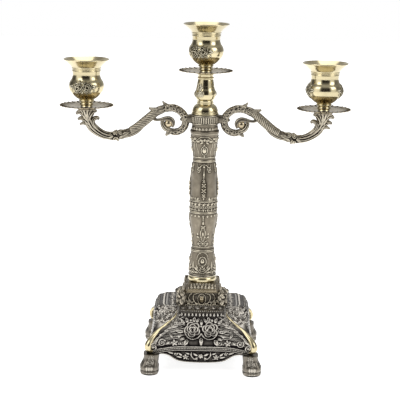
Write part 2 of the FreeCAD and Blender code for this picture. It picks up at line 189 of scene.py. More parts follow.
    def beads(self, a, b, pitch, r, h=0.6):
        """A row of beads from a to b."""
        run = math.hypot(b[0] - a[0], b[1] - a[1])
        n = max(1, int(round(run / pitch)))
        for k in range(n):
            t = (k + 0.5) / n
            self.dome(a[0] + (b[0] - a[0]) * t, a[1] + (b[1] - a[1]) * t, r, h=h)

    def line(self, y, w, h):
        """A straight bead line across the whole sheet; a negative h cuts a groove."""
        ridge = h * np.sqrt(np.clip(1 - ((self.row_heights() - y) / w) ** 2, 0, 1))
        if h < 0:
            self.h += ridge[:, None]
        else:
            self.h = np.maximum(self.h, ridge[:, None])

    def shade(self, reach):
        """How far each cell stands above its surroundings: -1 in recesses, +1 on crests."""
        around = blur(self.h, max(1, int(reach / self.dx)), self.wraps)
        near = blur(self.h, max(1, int(0.35 * reach / self.dx)), self.wraps)
        return np.clip((self.h - around) * 2.2 + (self.h - near) * 2.6, -1, 1)

    def sample(self, field, x, y):
        """The field at arrays of places, smoothly between cells."""
        fx = (np.asarray(x) - self.x0) / self.dx - 0.5
        fy = np.clip((np.asarray(y) - self.y0) / self.dy - 0.5, 0, self.ny - 1.001)
        if not self.wraps:
            fx = np.clip(fx, 0, self.nx - 1.001)
        ix = np.floor(fx).astype(int)
        iy = np.floor(fy).astype(int)
        tx = fx - ix
        ty = fy - iy
        xa, xb = ix % self.nx, (ix + 1) % self.nx
        above = np.minimum(iy + 1, self.ny - 1)
        low = field[iy, xa] * (1 - tx) + field[iy, xb] * tx
        high = field[above, xa] * (1 - tx) + field[above, xb] * tx
        return low * (1 - ty) + high * ty


class Mirrored:
    """Presses motifs in pairs on a relief, either side of an upright line. x is measured from the line."""

    def __init__(self, relief, axis=0.0):
        self.relief = relief
        self.axis = axis

    def dome(self, x, y, *size, **more):
        for s in (-1, 1):
            self.relief.dome(self.axis + s * x, y, *size, **more)

    def floret(self, x, y, *size):
        for s in (-1, 1):
            self.relief.floret(self.axis + s * x, y, *size)

    def stroke(self, points, *size):
        for s in (-1, 1):
            self.relief.stroke([(self.axis + s * x, y) for x, y in points], *size)

    def leaf(self, x, y, angle, *size, **more):
        """The angle is that of the leaf on the right."""
        self.relief.leaf(self.axis - x, y, math.pi - angle, *size, **more)
        self.relief.leaf(self.axis + x, y, angle, *size, **more)

    def scroll(self, x, y, r, turns, start, way, w, h):
        """Both start at the same angle, and wind in opposite ways."""
        for s in (-1, 1):
            self.relief.scroll(self.axis + s * x, y, r, turns, start, s * way, w, h)


def round_relief(r, z0, z1):
    """A canvas that wraps once round a turned surface of radius r."""
    return Relief(-math.pi * r, math.pi * r, z0, z1, wraps=True)


def blur(field, cells, wraps):
    """A box blur run twice, in each direction."""
    out = field
    for _ in range(2):
        for axis in (0, 1):
            mode = "wrap" if wraps and axis == 1 else "edge"
            pad = [(0, 0), (0, 0)]
            pad[axis] = (cells + 1, cells)
            total = np.cumsum(np.pad(out, pad, mode=mode), axis=axis)
            n = out.shape[axis]
            width = 2 * cells + 1
            hi = np.take(total, range(width, width + n), axis=axis)
            lo = np.take(total, range(0, n), axis=axis)
            out = (hi - lo) / width
    return out


def smooth_path(points, step):
    """Points at about even steps along a curve through the given ones."""
    pts = np.array(points, float)
    if len(pts) == 2:
        n = max(2, int(np.linalg.norm(pts[1] - pts[0]) / step) + 1)
        return pts[0] + (pts[1] - pts[0]) * np.linspace(0, 1, n)[:, None]
    ends = np.vstack([2 * pts[0] - pts[1], pts, 2 * pts[-1] - pts[-2]])
    out = []
    for k in range(1, len(ends) - 2):
        p0, p1, p2, p3 = ends[k - 1], ends[k], ends[k + 1], ends[k + 2]
        n = max(2, int(np.linalg.norm(p2 - p1) / step) + 1)
        t = np.linspace(0, 1, n, endpoint=False)[:, None]
        out.append(0.5 * (2 * p1 + (p2 - p0) * t + (2 * p0 - 5 * p1 + 4 * p2 - p3) * t ** 2
                          + (3 * p1 - p0 - 3 * p2 + p3) * t ** 3))
    out.append(pts[-1:])
    return np.vstack(out)


# ---- meshes ----
class Sheet:
    """A grid of points (rows, columns, 3) in millimetres, with shading values. It may close on itself."""

    def __init__(self, points, shade=0.0, gloss=0.0, closed=True, flip=False):
        self.points = np.asarray(points, float)
        self.shade = np.broadcast_to(shade, self.points.shape[:2])
        self.gloss = np.broadcast_to(gloss, self.points.shape[:2])
        self.closed = closed
        self.flip = flip

    def faces(self, start):
        rows, cols = self.points.shape[:2]
        last = cols if self.closed else cols - 1
        r, c = np.meshgrid(np.arange(rows - 1), np.arange(last), indexing="ij")
        d = (c + 1) % cols
        quad = np.stack([r * cols + c, r * cols + d, (r + 1) * cols + d, (r + 1) * cols + c], axis=-1)
        if self.flip:
            quad = quad[..., ::-1]
        return quad.reshape(-1, 4) + start


def unit(vectors):
    """Vectors along the last axis, each scaled to length 1."""
    return vectors / np.maximum(np.linalg.norm(vectors, axis=-1, keepdims=True), 1e-9)


def normals_of(points, closed):
    """Unit normals of a grid, outward for columns that run anticlockwise and rows that run up."""
    if closed:
        du = np.roll(points, -1, axis=1) - np.roll(points, 1, axis=1)
    else:
        du = np.gradient(points, axis=1)
    return unit(np.cross(du, np.gradient(points, axis=0)))


def make_piece(name, sheets, material, body, nodes):
    """One mesh object from several sheets, riding on a body in place of its CAD nodes."""
    verts, quads, shade, gloss = [], [], [], []
    start = 0
    for sheet in sheets:
        flat = sheet.points.reshape(-1, 3)
        quads.append(sheet.faces(start))
        verts.append(flat)
        shade.append(sheet.shade.reshape(-1))
        gloss.append(sheet.gloss.reshape(-1))
        start += len(flat)
    verts = np.vstack(verts) * MM
    quads = np.vstack(quads)
    mesh = bpy.data.meshes.new(name)
    mesh.vertices.add(len(verts))
    mesh.vertices.foreach_set("co", verts.astype(np.float32).reshape(-1))
    mesh.loops.add(quads.size)
    mesh.loops.foreach_set("vertex_index", quads.astype(np.int32).reshape(-1))
    mesh.polygons.add(len(quads))
    mesh.polygons.foreach_set("loop_start", np.arange(0, quads.size, 4, dtype=np.int32))
    mesh.polygons.foreach_set("use_smooth", np.ones(len(quads), bool))
    mesh.update(calc_edges=True)
    for label, values in (("patina_and_painted_light", shade), ("gloss", gloss)):
        layer = mesh.attributes.new(label, "FLOAT", "POINT")
        layer.data.foreach_set("value", np.concatenate(values).astype(np.float32))
    mesh.validate()
    piece = bpy.data.objects.new(name, mesh)
    bpy.context.scene.collection.objects.link(piece)
    mesh.materials.append(material)
    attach(piece, body)
    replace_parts(piece, *nodes)
    return piece


def around_grid(radius, z, columns):
    """Points of a surface of revolution: rows of radius and height, columns anticlockwise from the back."""
    a = -math.pi + TAU * np.arange(columns) / columns
    r = np.asarray(radius)[:, None]
    x = r * np.sin(a)[None, :]
    y = -r * np.cos(a)[None, :]
    zz = np.broadcast_to(np.asarray(z, float)[:, None], x.shape)
    return np.stack([x, y, zz], axis=-1), a


def turned_sheet(profile, step, columns, relief=None, mean_r=1.0, at=(0, 0, 0), gloss=0.0, depth=1.0,
                 smooth=True):
    """A turned surface through (radius, z) knots, pushed out along its normals by a wrapping relief."""
    path = smooth_path(profile, step) if smooth else np.array(profile, float)
    points, a = around_grid(path[:, 0], path[:, 1], columns)
    shade = np.zeros(points.shape[:2])
    shine = np.full(points.shape[:2], float(gloss))
    if relief is not None:
        gx, gy = np.meshgrid(a * mean_r, path[:, 1])
        inside = (gy >= relief.y0) & (gy <= relief.y1)
        height = np.where(inside, relief.sample(relief.h, gx, gy), 0)
        shade = np.where(inside, relief.sample(relief.shade(1.6), gx, gy), 0)
        busy = relief.sample(blur((relief.h > 0.03).astype(float), 4, True), gx, gy)
        shine = shine * (1 - np.clip(np.where(inside, busy, 0) * 1.6, 0, 1))
        points = points + normals_of(points, True) * (height * depth)[..., None]
    return Sheet(points + np.array(at, float), shade, shine)


def bore_caps(low_r, low_z, high_r, high_z):
    """Flat rings that close a turned casting's two ends in to the rod's bore."""
    return [turned_sheet([(BORE_R, low_z), (low_r, low_z)], 3, 48, smooth=False),
            turned_sheet([(high_r, high_z), (BORE_R, high_z)], 3, 48, smooth=False)]


def sweep(spine, size, columns=40, step=0.5, relief=None, across=(0, 1, 0), power=2.0, gloss=0.0):
    """A closed bar along a 3-D spine. size holds (half width along `across`, half thickness) at each knot."""
    both = smooth_path(np.hstack([np.array(spine, float), np.array(size, float)]), step)
    path, half = both[:, :3], np.maximum(both[:, 3:5], 0.02)
    tangent = unit(np.gradient(path, axis=0))
    side = np.broadcast_to(np.array(across, float), path.shape)
    side = unit(side - tangent * np.sum(side * tangent, axis=1, keepdims=True))
    up = np.cross(side, tangent)
    a = -math.pi + TAU * np.arange(columns) / columns
    ca = np.sign(np.cos(a)) * np.abs(np.cos(a)) ** (2 / power)
    sa = np.sign(np.sin(a)) * np.abs(np.sin(a)) ** (2 / power)
    points = (path[:, None, :] + side[:, None, :] * (half[:, 0:1] * sa[None, :])[..., None]
              + up[:, None, :] * (half[:, 1:2] * ca[None, :])[..., None])
    shade = np.zeros(points.shape[:2])
    if relief is not None:
        length = np.concatenate([[0], np.cumsum(np.linalg.norm(np.diff(path, axis=0), axis=1))])
        gx, gy = np.meshgrid(a / TAU * (relief.x1 - relief.x0), length)
        fade = np.clip(half.min(axis=1) / 1.2, 0, 1)[:, None]
        outward = unit(points - path[:, None, :])
        points = points + outward * (relief.sample(relief.h, gx, gy) * fade)[..., None]
        shade = relief.sample(relief.shade(1.3), gx, gy)
    first = np.repeat(path[:1, None, :], columns, axis=1)
    last = np.repeat(path[-1:, None, :], columns, axis=1)
    points = np.concatenate([first, points, last], axis=0)
    shade = np.concatenate([shade[:1], shade, shade[-1:]], axis=0)
    return Sheet(points, shade, gloss, flip=True)


def bar_sweep(knots, *more, **options):
    """A bar in the XZ plane through (x, z, half width, half thickness) knots."""
    return sweep([(x, 0.0, z) for x, z, w, t in knots], [(w, t) for x, z, w, t in knots], *more, **options)


def turned_about(sheet, degrees):
    """The same sheet turned about the object's upright axis."""
    c, s = math.cos(math.radians(degrees)), math.sin(math.radians(degrees))
    rot = np.array([[c, s, 0], [-s, c, 0], [0, 0, 1]])
    return Sheet(sheet.points @ rot, sheet.shade, sheet.gloss, sheet.closed, sheet.flip)


# ---- materials ----
def nodes_of(material):
    material.use_nodes = True
    tree = material.node_tree
    tree.nodes.clear()
    out = tree.nodes.new("ShaderNodeOutputMaterial")
    shader = tree.nodes.new("ShaderNodeBsdfPrincipled")
    tree.links.new(shader.outputs["BSDF"], out.inputs["Surface"])
    return tree, shader


def ramp_node(tree, stops, source):
    ramp = tree.nodes.new("ShaderNodeValToRGB")
    while len(ramp.color_ramp.elements) < len(stops):
        ramp.color_ramp.elements.new(0.5)
    for element, (place, colour) in zip(ramp.color_ramp.elements, stops):
        element.position = place
        element.color = (*colour, 1) if len(colour) == 3 else colour
    tree.links.new(source, ramp.inputs["Fac"])
    return ramp.outputs["Color"]


def noise_node(tree, scale, detail=3.0, stretch=None):
    place = tree.nodes.new("ShaderNodeTexCoord")
    source = place.outputs["Object"]
    if stretch:
        mapping = tree.nodes.new("ShaderNodeMapping")
        mapping.inputs["Scale"].default_value = stretch
        tree.links.new(source, mapping.inputs["Vector"])
        source = mapping.outputs["Vector"]
    noise = tree.nodes.new("ShaderNodeTexNoise")
    noise.inputs["Scale"].default_value = scale
    noise.inputs["Detail"].default_value = detail
    tree.links.new(source, noise.inputs["Vector"])
    return noise.outputs["Fac"]


def math_node(tree, operation, a, b=None, c=None, clamp=False):
    node = tree.nodes.new("ShaderNodeMath")
    node.operation = operation
    node.use_clamp = clamp
    for socket, value in zip(node.inputs, (a, b, c)):
        if value is None:
            continue
        if isinstance(value, (int, float)):
            socket.default_value = value
        else:
            tree.links.new(value, socket)
    return node.outputs["Value"]


def mix_node(tree, factor, a, b):
    node = tree.nodes.new("ShaderNodeMix")
    node.data_type = "RGBA"
    for socket, value in ((node.inputs[0], factor), (node.inputs[6], a), (node.inputs[7], b)):
        if isinstance(value, tuple):
            socket.default_value = (*value, 1)
        else:
            tree.links.new(value, socket)
    return node.outputs[2]


def bump_node(tree, height, distance, strength):
    bump = tree.nodes.new("ShaderNodeBump")
    bump.inputs["Distance"].default_value = distance
    bump.inputs["Strength"].default_value = strength
    tree.links.new(height, bump.inputs["Height"])
    return bump.outputs["Normal"]


def plated_metal(name, recess, body, crest, polish, rough=(0.62, 0.36, 0.24), polished_rough=0.19):
    """Antiqued plate: dark patina in recesses, rubbed crests, and a polished tone where gloss is 1. The
    per-point tone also carries painted light and shade where a piece adds it.
    """
    material = bpy.data.materials.new(name)
    tree, shader = nodes_of(material)
    # per-point tone: patina in recesses and rubbed crests, plus painted light and shade on some pieces (lit
    # panel flanks and tops, shade in the pan's petal gaps)
    patina_and_painted_light = tree.nodes.new("ShaderNodeAttribute")
    patina_and_painted_light.attribute_name = "patina_and_painted_light"
    gloss = tree.nodes.new("ShaderNodeAttribute")
    gloss.attribute_name = "gloss"
    grime = noise_node(tree, 210.0, 5.0)
    cloud = noise_node(tree, 38.0, 3.0)
    level = math_node(tree, "MULTIPLY_ADD", patina_and_painted_light.outputs["Fac"], 0.5, 0.5)
    fine = math_node(tree, "SUBTRACT", grime, 0.5)
    coarse = math_node(tree, "SUBTRACT", cloud, 0.5)
    uneven = math_node(tree, "MULTIPLY_ADD", fine, 0.34, level)
    uneven = math_node(tree, "MULTIPLY_ADD", coarse, 0.16, uneven, clamp=True)
    mid_dark = tuple(0.5 * (r + b) for r, b in zip(recess, body))
    worn = ramp_node(tree, [(0.10, recess), (0.36, mid_dark), (0.54, body), (0.80, crest)], uneven)
    tarnish = tuple(0.72 * p for p in polish)
    clean = ramp_node(tree, [(0.34, tarnish), (0.62, polish)], cloud)
    colour = mix_node(tree, gloss.outputs["Fac"], worn, clean)
    tree.links.new(colour, shader.inputs["Base Color"])
    worn_rough = ramp_node(tree, [(p, (v,) * 3) for p, v in zip((0.1, 0.5, 0.85), rough)], uneven)
    clean_rough = math_node(tree, "MULTIPLY_ADD", grime, 0.12, polished_rough - 0.06)
    roughness = mix_node(tree, gloss.outputs["Fac"], worn_rough, clean_rough)
    tree.links.new(roughness, shader.inputs["Roughness"])
    shader.inputs["Metallic"].default_value = 1.0
    tree.links.new(bump_node(tree, grime, 0.0002, 0.22), shader.inputs["Normal"])
    return material


def steel_material():
    """Zinc plated steel, with fine turning lines."""
    material = bpy.data.materials.new("zinc_steel")
    tree, shader = nodes_of(material)
    lines = noise_node(tree, 900.0, 2.0, (1, 1, 9))
    tree.links.new(ramp_node(tree, [(0.3, (0.36, 0.36, 0.37)), (0.7, (0.62, 0.62, 0.60))], lines),
                   shader.inputs["Base Color"])
    tree.links.new(math_node(tree, "MULTIPLY_ADD", lines, 0.25, 0.22), shader.inputs["Roughness"])
    shader.inputs["Metallic"].default_value = 1.0
    tree.links.new(bump_node(tree, lines, 0.0001, 0.3), shader.inputs["Normal"])
    return material


def felt_material():
    """Black wool felt, with matted fibres."""
    material = bpy.data.materials.new("black_felt")
    tree, shader = nodes_of(material)
    fibres = noise_node(tree, 1400.0, 6.0, (1, 0.35, 1))
    tree.links.new(ramp_node(tree, [(0.3, (0.012, 0.012, 0.013)), (0.75, (0.07, 0.07, 0.068))], fibres),
                   shader.inputs["Base Color"])
    shader.inputs["Roughness"].default_value = 0.95
    shader.inputs["Sheen Weight"].default_value = 0.35
    tree.links.new(bump_node(tree, fibres, 0.0004, 0.6), shader.inputs["Normal"])
    return material


BRONZE = plated_metal("aged_bronze", (0.008, 0.007, 0.007), (0.135, 0.122, 0.108), (0.50, 0.47, 0.42),
                      (0.56, 0.50, 0.38))
COLUMN = plated_metal("column_bronze", (0.012, 0.010, 0.008), (0.185, 0.162, 0.128), (0.52, 0.47, 0.37),
                      (0.52, 0.44, 0.30), rough=(0.6, 0.36, 0.27))
BRASS = plated_metal("polished_brass", (0.022, 0.018, 0.010), (0.26, 0.225, 0.145), (0.66, 0.61, 0.47),
                     (0.62, 0.54, 0.34), polished_rough=0.16)
STEEL = steel_material()
FELT = felt_material()


# ---- candle cups ----
CUP_R = 17.4             # belly radius that the relief canvas is wrapped on
SOCKET_R = 11.5
CUP_SPRAY_AT = {"left": -9.0, "centre": -25.0, "right": 90.0}


def rose_spray(relief, x, y, r):
    """Two roses side by side among leaves, as on the bellies of the cups."""
    for angle, length, width in ((2.45, 7.2, 3.0), (1.9, 6.0, 2.6), (1.15, 6.0, 2.6), (0.65, 7.4, 3.0)):
        out = 4.2 * math.cos(angle) * r / 4.4
        relief.leaf(x + out, y + 2.2 * math.sin(angle), angle, length, width, 0.85)
    for angle, length, width in ((-2.6, 7.4, 2.8), (-2.05, 7.0, 2.4), (-1.57, 6.6, 2.2),
                                 (-1.05, 7.0, 2.4), (-0.55, 7.6, 2.8)):
        relief.leaf(x + 3.6 * math.cos(angle) * r / 4.4, y - 2.0, angle, length, width, 0.85)
    for side in (-1, 1):
        turn = 0.1 if side > 0 else math.pi - 0.1
        relief.leaf(x + side * (r * 1.75), y + 0.6, turn, 5.8, 4.2, 1.05, veins=3)
        relief.dome(x + side * (r * 2.35), y - 3.2, 0.9, h=0.8)
        relief.rose(x + side * r * 0.95, y + (0.5 if side > 0 else -0.5), r, 1.5, side * 0.7)
    relief.dome(x, y + r * 0.95, 0.9, h=0.9)
    relief.dome(x, y - r * 0.95, 0.8, h=0.8)


def candle_cup(side):
    low, high = node_box(side + "_candle_cup")
    centre = (low + high) / 2
    z0 = low[2]
    rim_r = (high[0] - low[0]) / 2
    height = high[2] - low[2]
    relief = round_relief(CUP_R, 8.0, 30.0)
    for half_turn in (0, 180):
        azimuth = CUP_SPRAY_AT[side] + half_turn
        x = math.radians((azimuth + 180) % 360 - 180) * CUP_R
        rose_spray(relief, x, 20.6, 5.1)
    foot = [(0.2, 0.0), (6.0, 0.0), (6.05, 1.0), (5.9, 1.6), (6.9, 2.4), (7.0, 3.2), (6.7, 4.0),
            (6.0, 4.7), (6.4, 5.2), (7.6, 5.7), (7.8, 6.4), (7.5, 7.1), (7.1, 7.5)]
    belly = [(7.1, 7.5), (9.4, 8.6), (12.2, 10.8), (15.2, 14.0), (17.0, 17.0), (17.7, 21.0), (16.9, 25.0),
             (14.9, 28.3), (13.9, 32.0), (14.2, 36.0)]
    neck = [(14.2, 36.0), (14.6, 36.3), (14.3, 36.8), (14.3, 37.5), (14.7, 37.8), (14.4, 38.3), (14.7, 39.0),
            (15.1, 39.3), (14.9, 39.9), (15.5, 40.8), (17.0, 42.4), (19.4, 44.5), (21.6, 46.4),
            (rim_r - 0.15, height - 1.1), (rim_r, height - 0.7), (rim_r - 0.2, height - 0.2),
            (rim_r - 0.8, height)]
    inside = [(rim_r - 0.8, height), (20.2, 46.9), (18.0, 45.2), (15.6, 43.0), (14.2, 41.6), (12.2, 39.6),
              (11.6, 38.4), (SOCKET_R, 37.0), (SOCKET_R, 20.0), (SOCKET_R, 16.6), (10.9, 16.0),
              (0.2, 16.0)]
    at = (centre[0], centre[1], z0)
    bowl = turned_sheet(belly, 0.3, 340, relief, CUP_R, at, 1, 1.2)
    bowl.shade = np.clip(bowl.shade * 1.7 - 0.8 * (1 - bowl.gloss), -1, 1)
    sheets = [turned_sheet(foot, 0.35, 120, at=at, gloss=1),
              bowl,
              turned_sheet(neck, 0.28, 140, at=at, gloss=1),
              turned_sheet(inside, 0.7, 96, at=at, gloss=0.9)]
    name = side + "_cup_shell"
    return make_piece(name, sheets, BRASS, side + "_cup", [side + "_candle_cup"])


# ---- drip pans ----
PAN_PETALS = 28


def drip_pan(side):
    """A dished pan whose rim and underside are pressed into petals."""
    low, high = node_box(side + "_drip_pan")
    centre = (low + high) / 2
    rim = (high[0] - low[0]) / 2
    columns = PAN_PETALS * 14
    r_top = smooth_path([(BORE_R, 1.5), (8.6, 1.5), (11.5, 1.9), (15.5, 2.7), (21.0, 3.2), (rim - 1.2, 3.7),
                         (rim - 0.1, 3.9)], 0.5)
    r_low = smooth_path([(rim, 3.5), (rim - 0.6, 3.05), (24.0, 2.7), (21.0, 2.4), (15.5, 1.7), (11.5, 0.5),
                         (8.6, 0.0), (BORE_R, 0.0)], 0.5)
    path = np.vstack([r_low[::-1], r_top[::-1]])
    under = np.concatenate([np.ones(len(r_low)), np.zeros(len(r_top))])
    points, a = around_grid(path[:, 0], path[:, 1], columns)
    petal = 0.5 + 0.5 * np.cos(PAN_PETALS * a)
    scallop = np.abs(np.sin(PAN_PETALS * a / 2))
    out = np.clip((path[:, 0] - 14.5) / (rim - 14.5), 0, 1)[:, None]
    pull = 1 - (1 - scallop)[None, :] ** 1.5 * 0.055 * out ** 3
    points[..., 0] *= pull
    points[..., 1] *= pull
    swell = (scallop[None, :] ** 0.6 - 1.0) * 1.35 * out ** 0.8
    points[..., 2] += np.where(under[:, None] > 0, -swell * 0.95, swell * 0.55)
    # Painted shade: the gaps between the petals are darkened, more towards the rim, and lose their polish so
    # the dark shows. The top is painted a little lighter than the underside.
    painted_gap_shade = np.exp(-(scallop[None, :] / 0.32) ** 2) * np.clip(out * 2.4, 0, 1)
    shade = np.where(under[:, None] > 0, 0.25 - 1.25 * painted_gap_shade, 0.35 - 1.3 * painted_gap_shade * np.clip(out * 2.5, 0, 1))
    shade = np.where(path[:, 0][:, None] < 11, -0.1 * petal[None, :], shade)
    gloss = np.clip(np.where(under[:, None] > 0, 0.75, 0.9) - painted_gap_shade, 0, 1)
    at = np.array([centre[0], centre[1], low[2]])
    sheet = Sheet(points + at, shade, gloss)
    return make_piece(side + "_pan_dish", [sheet], COLUMN, "root", [side + "_drip_pan"])


# ---- column ----
COLUMN_R = 13.4          # mean radius that the column's canvases are wrapped on
FOUR_SIDES = [math.radians(d) for d in (-180, -90, 0, 90)]


def column_piece(node, profile, decorate):
    """A turned casting whose relief canvas is decorated alike on its four sides."""
    low, high = node_box(node)
    relief = round_relief(COLUMN_R, low[2], high[2])
    for side in FOUR_SIDES:
        decorate(relief, side * COLUMN_R, low[2], high[2])
    outer = turned_sheet(profile, 0.32, 288, relief, COLUMN_R, gloss=0.1)
    caps = bore_caps(*profile[0], *profile[-1])
    name = node.replace("column_", "pillar_") + "_casting"
    return make_piece(name, [outer] + caps, COLUMN, "root", [node])


def decorate_foot(relief, x, z0, z1):
    """A bossed medallion over nested swags, with leaves at its sides and a round swirl between sides."""
    quarter = relief.x1 / 2
    relief.line(z0 + 0.8, 0.7, 0.5)
    relief.line(z0 + 2.6, 0.35, 0.25)
    relief.line(z1 - 0.9, 0.6, 0.45)
    mz = z0 + 17.2
    relief.ring(x, mz, 4.1, 0.5, 0.65, ry=4.7)
    relief.ring(x, mz, 3.0, 0.28, 0.35, ry=3.6)
    relief.dome(x, mz + 0.2, 2.1, 2.6, 1.35)
    relief.dome(x, z0 + 11.6, 0.75, h=0.7)
    for drop, w in ((9.4, 2.2), (7.4, 3.0), (5.4, 3.7)):
        zc = z0 + drop
        swag = [(x - w, zc + 1.5), (x - w * 0.6, zc), (x, zc - 0.7), (x + w * 0.6, zc), (x + w, zc + 1.5)]
        relief.stroke(swag, 0.55, 0.55, 0.75)
        relief.dome(x, zc + 1.3, 0.7, 0.5, 0.9)
    pair = Mirrored(relief, x)
    pair.stroke([(2.0, z1 - 2.2), (4.2, z1 - 3.0), (5.8, z1 - 5.6), (6.2, z1 - 9.0)], 0.45, 0.3, 0.5)
    pair.leaf(3.6, z0 + 7.0, UP - 0.95, 6.6, 2.5, 0.95)
    pair.leaf(3.6, z0 + 5.4, UP - 1.5, 6.0, 2.2, 0.8)
    pair.leaf(4.4, z0 + 9.0, UP - 0.45, 5.0, 1.8, 0.7)
    relief.scroll(x + quarter / 2, z0 + 5.4, 2.6, 1.5, 0.5, 1, 0.5, 0.8)
    relief.dome(x + quarter / 2, z0 + 5.4, 1.0, h=0.9)
    relief.leaf(x + quarter / 2, z0 + 8.0, UP, 9.0, 2.6, 0.5)


def decorate_lower_shaft(relief, x, z0, z1):
    """A hanging stem with a quatrefoil and a vase, and a row of florets low down."""
    relief.line(z1 - 0.7, 0.5, 0.5)
    relief.line(z1 - 2.0, 0.3, -0.25)
    relief.line(z0 + 0.5, 0.45, 0.4)
    relief.line(z0 + 1.6, 0.4, -0.3)
    for k in range(5):
        relief.leaf(x + (k - 2) * 4.1, z1 - 2.4, DOWN, 2.6, 1.9, 0.6, veins=2)
    relief.stroke([(x, z1 - 3.5), (x, z0 + 31.5)], 0.42, 0.28, 0.8)
    for k in range(3):
        relief.dome(x, z1 - 5.0 - 2.2 * k, 0.62, 0.9, 1.0)
    relief.floret(x, z0 + 25.4, 2.9, 1.1, 4, UP / 2)
    relief.leaf(x, z0 + 28.0, UP, 4.4, 1.6, 1.1)
    pair = Mirrored(relief, x)
    vase = [(0.8, z0 + 22.8), (2.4, z0 + 21.2), (2.5, z0 + 17.0), (1.3, z0 + 12.4), (0.6, z0 + 10.8)]
    pair.stroke(vase, 0.42, 0.32, 0.6)
    pair.stroke([(2.6, z0 + 14.6), (4.4, z0 + 13.8), (5.8, z0 + 15.4)], 0.4, 0.3, 0.55)
    pair.floret(6.2, z0 + 14.8, 1.6, 0.75, 5)
    pair.leaf(6.2, z0 + 16.4, UP, 3.2, 1.4, 0.5)
    pair.floret(5.2, z0 + 7.6, 2.1, 0.8, 5)
    pair.leaf(1.9, z0 + 5.2, UP - 1.2, 4.0, 1.6, 0.6)
    pair.leaf(2.4, z0 + 9.4, UP - 1.0, 3.2, 1.4, 0.6)
    relief.dome(x, z0 + 18.0, 0.9, 2.6, 0.7)
    relief.dome(x, z0 + 8.0, 1.3, h=1.0)
    relief.ring(x, z0 + 8.0, 2.2, 0.35, 0.5)
    relief.line(z0 + 4.0, 0.35, 0.35)


def decorate_band(relief, x, z0, z1):
    """Two leaf rows between bead lines."""
    relief.line(z0 + 0.6, 0.5, 0.55)
    relief.line(z1 - 0.6, 0.5, 0.55)
    relief.line(z0 + 5.1, 0.35, 0.4)
    relief.line(z0 + 6.6, 0.35, 0.4)
    pitch = relief.x1 / 2 / 5
    for k in range(5):
        cx = x + (k - 2) * pitch
        relief.leaf(cx - 0.5, z0 + 7.2, math.radians(62), 3.9, 1.9, 0.8, veins=2)
        relief.leaf(cx + 0.7, z0 + 7.2, math.radians(118), 3.4, 1.5, 0.7, veins=2)
        relief.dome(cx + pitch / 2, z0 + 9.2, 0.55, h=0.6)
        relief.leaf(cx, z0 + 4.6, DOWN, 3.4, 1.9, 0.7, veins=2)
        relief.dome(cx + pitch / 2, z0 + 2.6, 0.6, 0.8, 0.6)
        relief.dome(cx, z0 + 5.85, 0.5, h=0.5)
        relief.dome(cx + pitch / 2, z0 + 5.85, 0.5, h=0.5)


def decorate_upper_shaft(relief, x, z0, z1):
    """A bracket with two hanging scrolls, and a chain of florets down the middle."""
    relief.line(z1 - 0.6, 0.5, 0.5)
    relief.line(z0 + 0.5, 0.45, 0.45)
    relief.line(z1 - 1.8, 0.3, -0.25)
    relief.leaf(x, z1 - 6.8, UP, 4.2, 1.9, 1.0, veins=2)
    pair = Mirrored(relief, x)
    bracket = [(7.6, z1 - 2.6), (7.2, z1 - 5.4), (5.2, z1 - 6.2), (3.4, z1 - 4.6), (1.6, z1 - 3.4)]
    pair.stroke(bracket, 0.5, 0.4, 0.8)
    pair.scroll(5.6, z1 - 9.6, 2.2, 1.3, UP, -1, 0.5, 0.9)
    pair.leaf(7.2, z1 - 5.4, DOWN - 0.1, 6.6, 1.9, 0.7)
    pair.leaf(3.6, z1 - 5.6, DOWN + 0.2, 5.6, 1.5, 0.7)
    pair.leaf(6.8, z0 + 0.9, UP + 0.5, 3.8, 2.2, 0.7, veins=3)
    pair.leaf(8.6, z0 + 0.9, UP - 0.2, 3.4, 1.6, 0.5, veins=3)
    relief.stroke([(x, z1 - 8.0), (x, z0 + 2.0)], 0.35, 0.35, 0.9)
    relief.leaf(x, z1 - 9.4, DOWN, 6.6, 1.9, 1.3)
    for up, r, h in ((20.8, 1.9, 1.5), (16.6, 2.9, 2.0), (11.2, 3.1, 2.1), (6.0, 2.6, 1.6)):
        relief.floret(x, z0 + up, r, h, 4, UP / 2)
        relief.dome(x, z0 + up + r * 1.05, 0.55, h=h * 0.8)
    relief.leaf(x, z0 + 4.4, DOWN, 3.4, 1.6, 1.0, veins=2)


def decorate_head(relief, x, z0, z1):
    """A medallion under a draped bow, and a dark row of leaves below the neck."""
    relief.line(z0 + 0.5, 0.45, 0.45)
    relief.line(z0 + 3.8, 0.4, 0.4)
    relief.line(z0 + 2.1, 0.7, -0.35)
    mz = z0 + 11.2
    relief.ring(x, mz, 3.5, 0.5, 0.7, ry=4.3)
    relief.dome(x, mz, 2.4, 3.1, 1.5)
    relief.dome(x, mz + 5.8, 0.8, h=0.8)
    relief.leaf(x, mz - 4.6, DOWN, 3.0, 1.4, 0.7, veins=2)
    bow = z0 + 21.6
    pair = Mirrored(relief, x)
    pair.stroke([(0, bow + 3.6), (4.0, bow + 3.1), (7.6, bow + 0.6), (9.6, bow - 1.8)], 0.45, 0.4, 0.7)
    pair.leaf(0.9, bow - 0.2, UP - 1.35, 4.8, 2.7, 1.1)
    pair.leaf(4.2, bow - 0.6, UP - 1.75, 5.0, 2.4, 1.0)
    pair.leaf(1.2, bow - 1.2, UP - 2.2, 4.4, 1.8, 0.8)
    pair.dome(4.0, bow + 1.0, 0.7, h=0.9)
    pair.stroke([(9.4, bow - 2.0), (9.0, bow - 6.0), (7.6, bow - 10.0), (7.6, z0 + 4.4)], 0.32, 0.22, 0.4)
    pair.floret(9.8, bow + 1.4, 1.6, 0.7, 5)
    relief.dome(x, bow + 0.6, 1.1, 1.5, 1.2)
    relief.line(z1 - 7.2, 0.3, 0.3)
    for k in range(6):
        cx = x + (k - 2.5) * relief.x1 / 12
        relief.leaf(cx, z1 - 3.4, UP, 3.2, 2.5, 0.7, veins=2)
        relief.dome(cx + relief.x1 / 24, z1 - 2.6, 0.5, h=0.4)


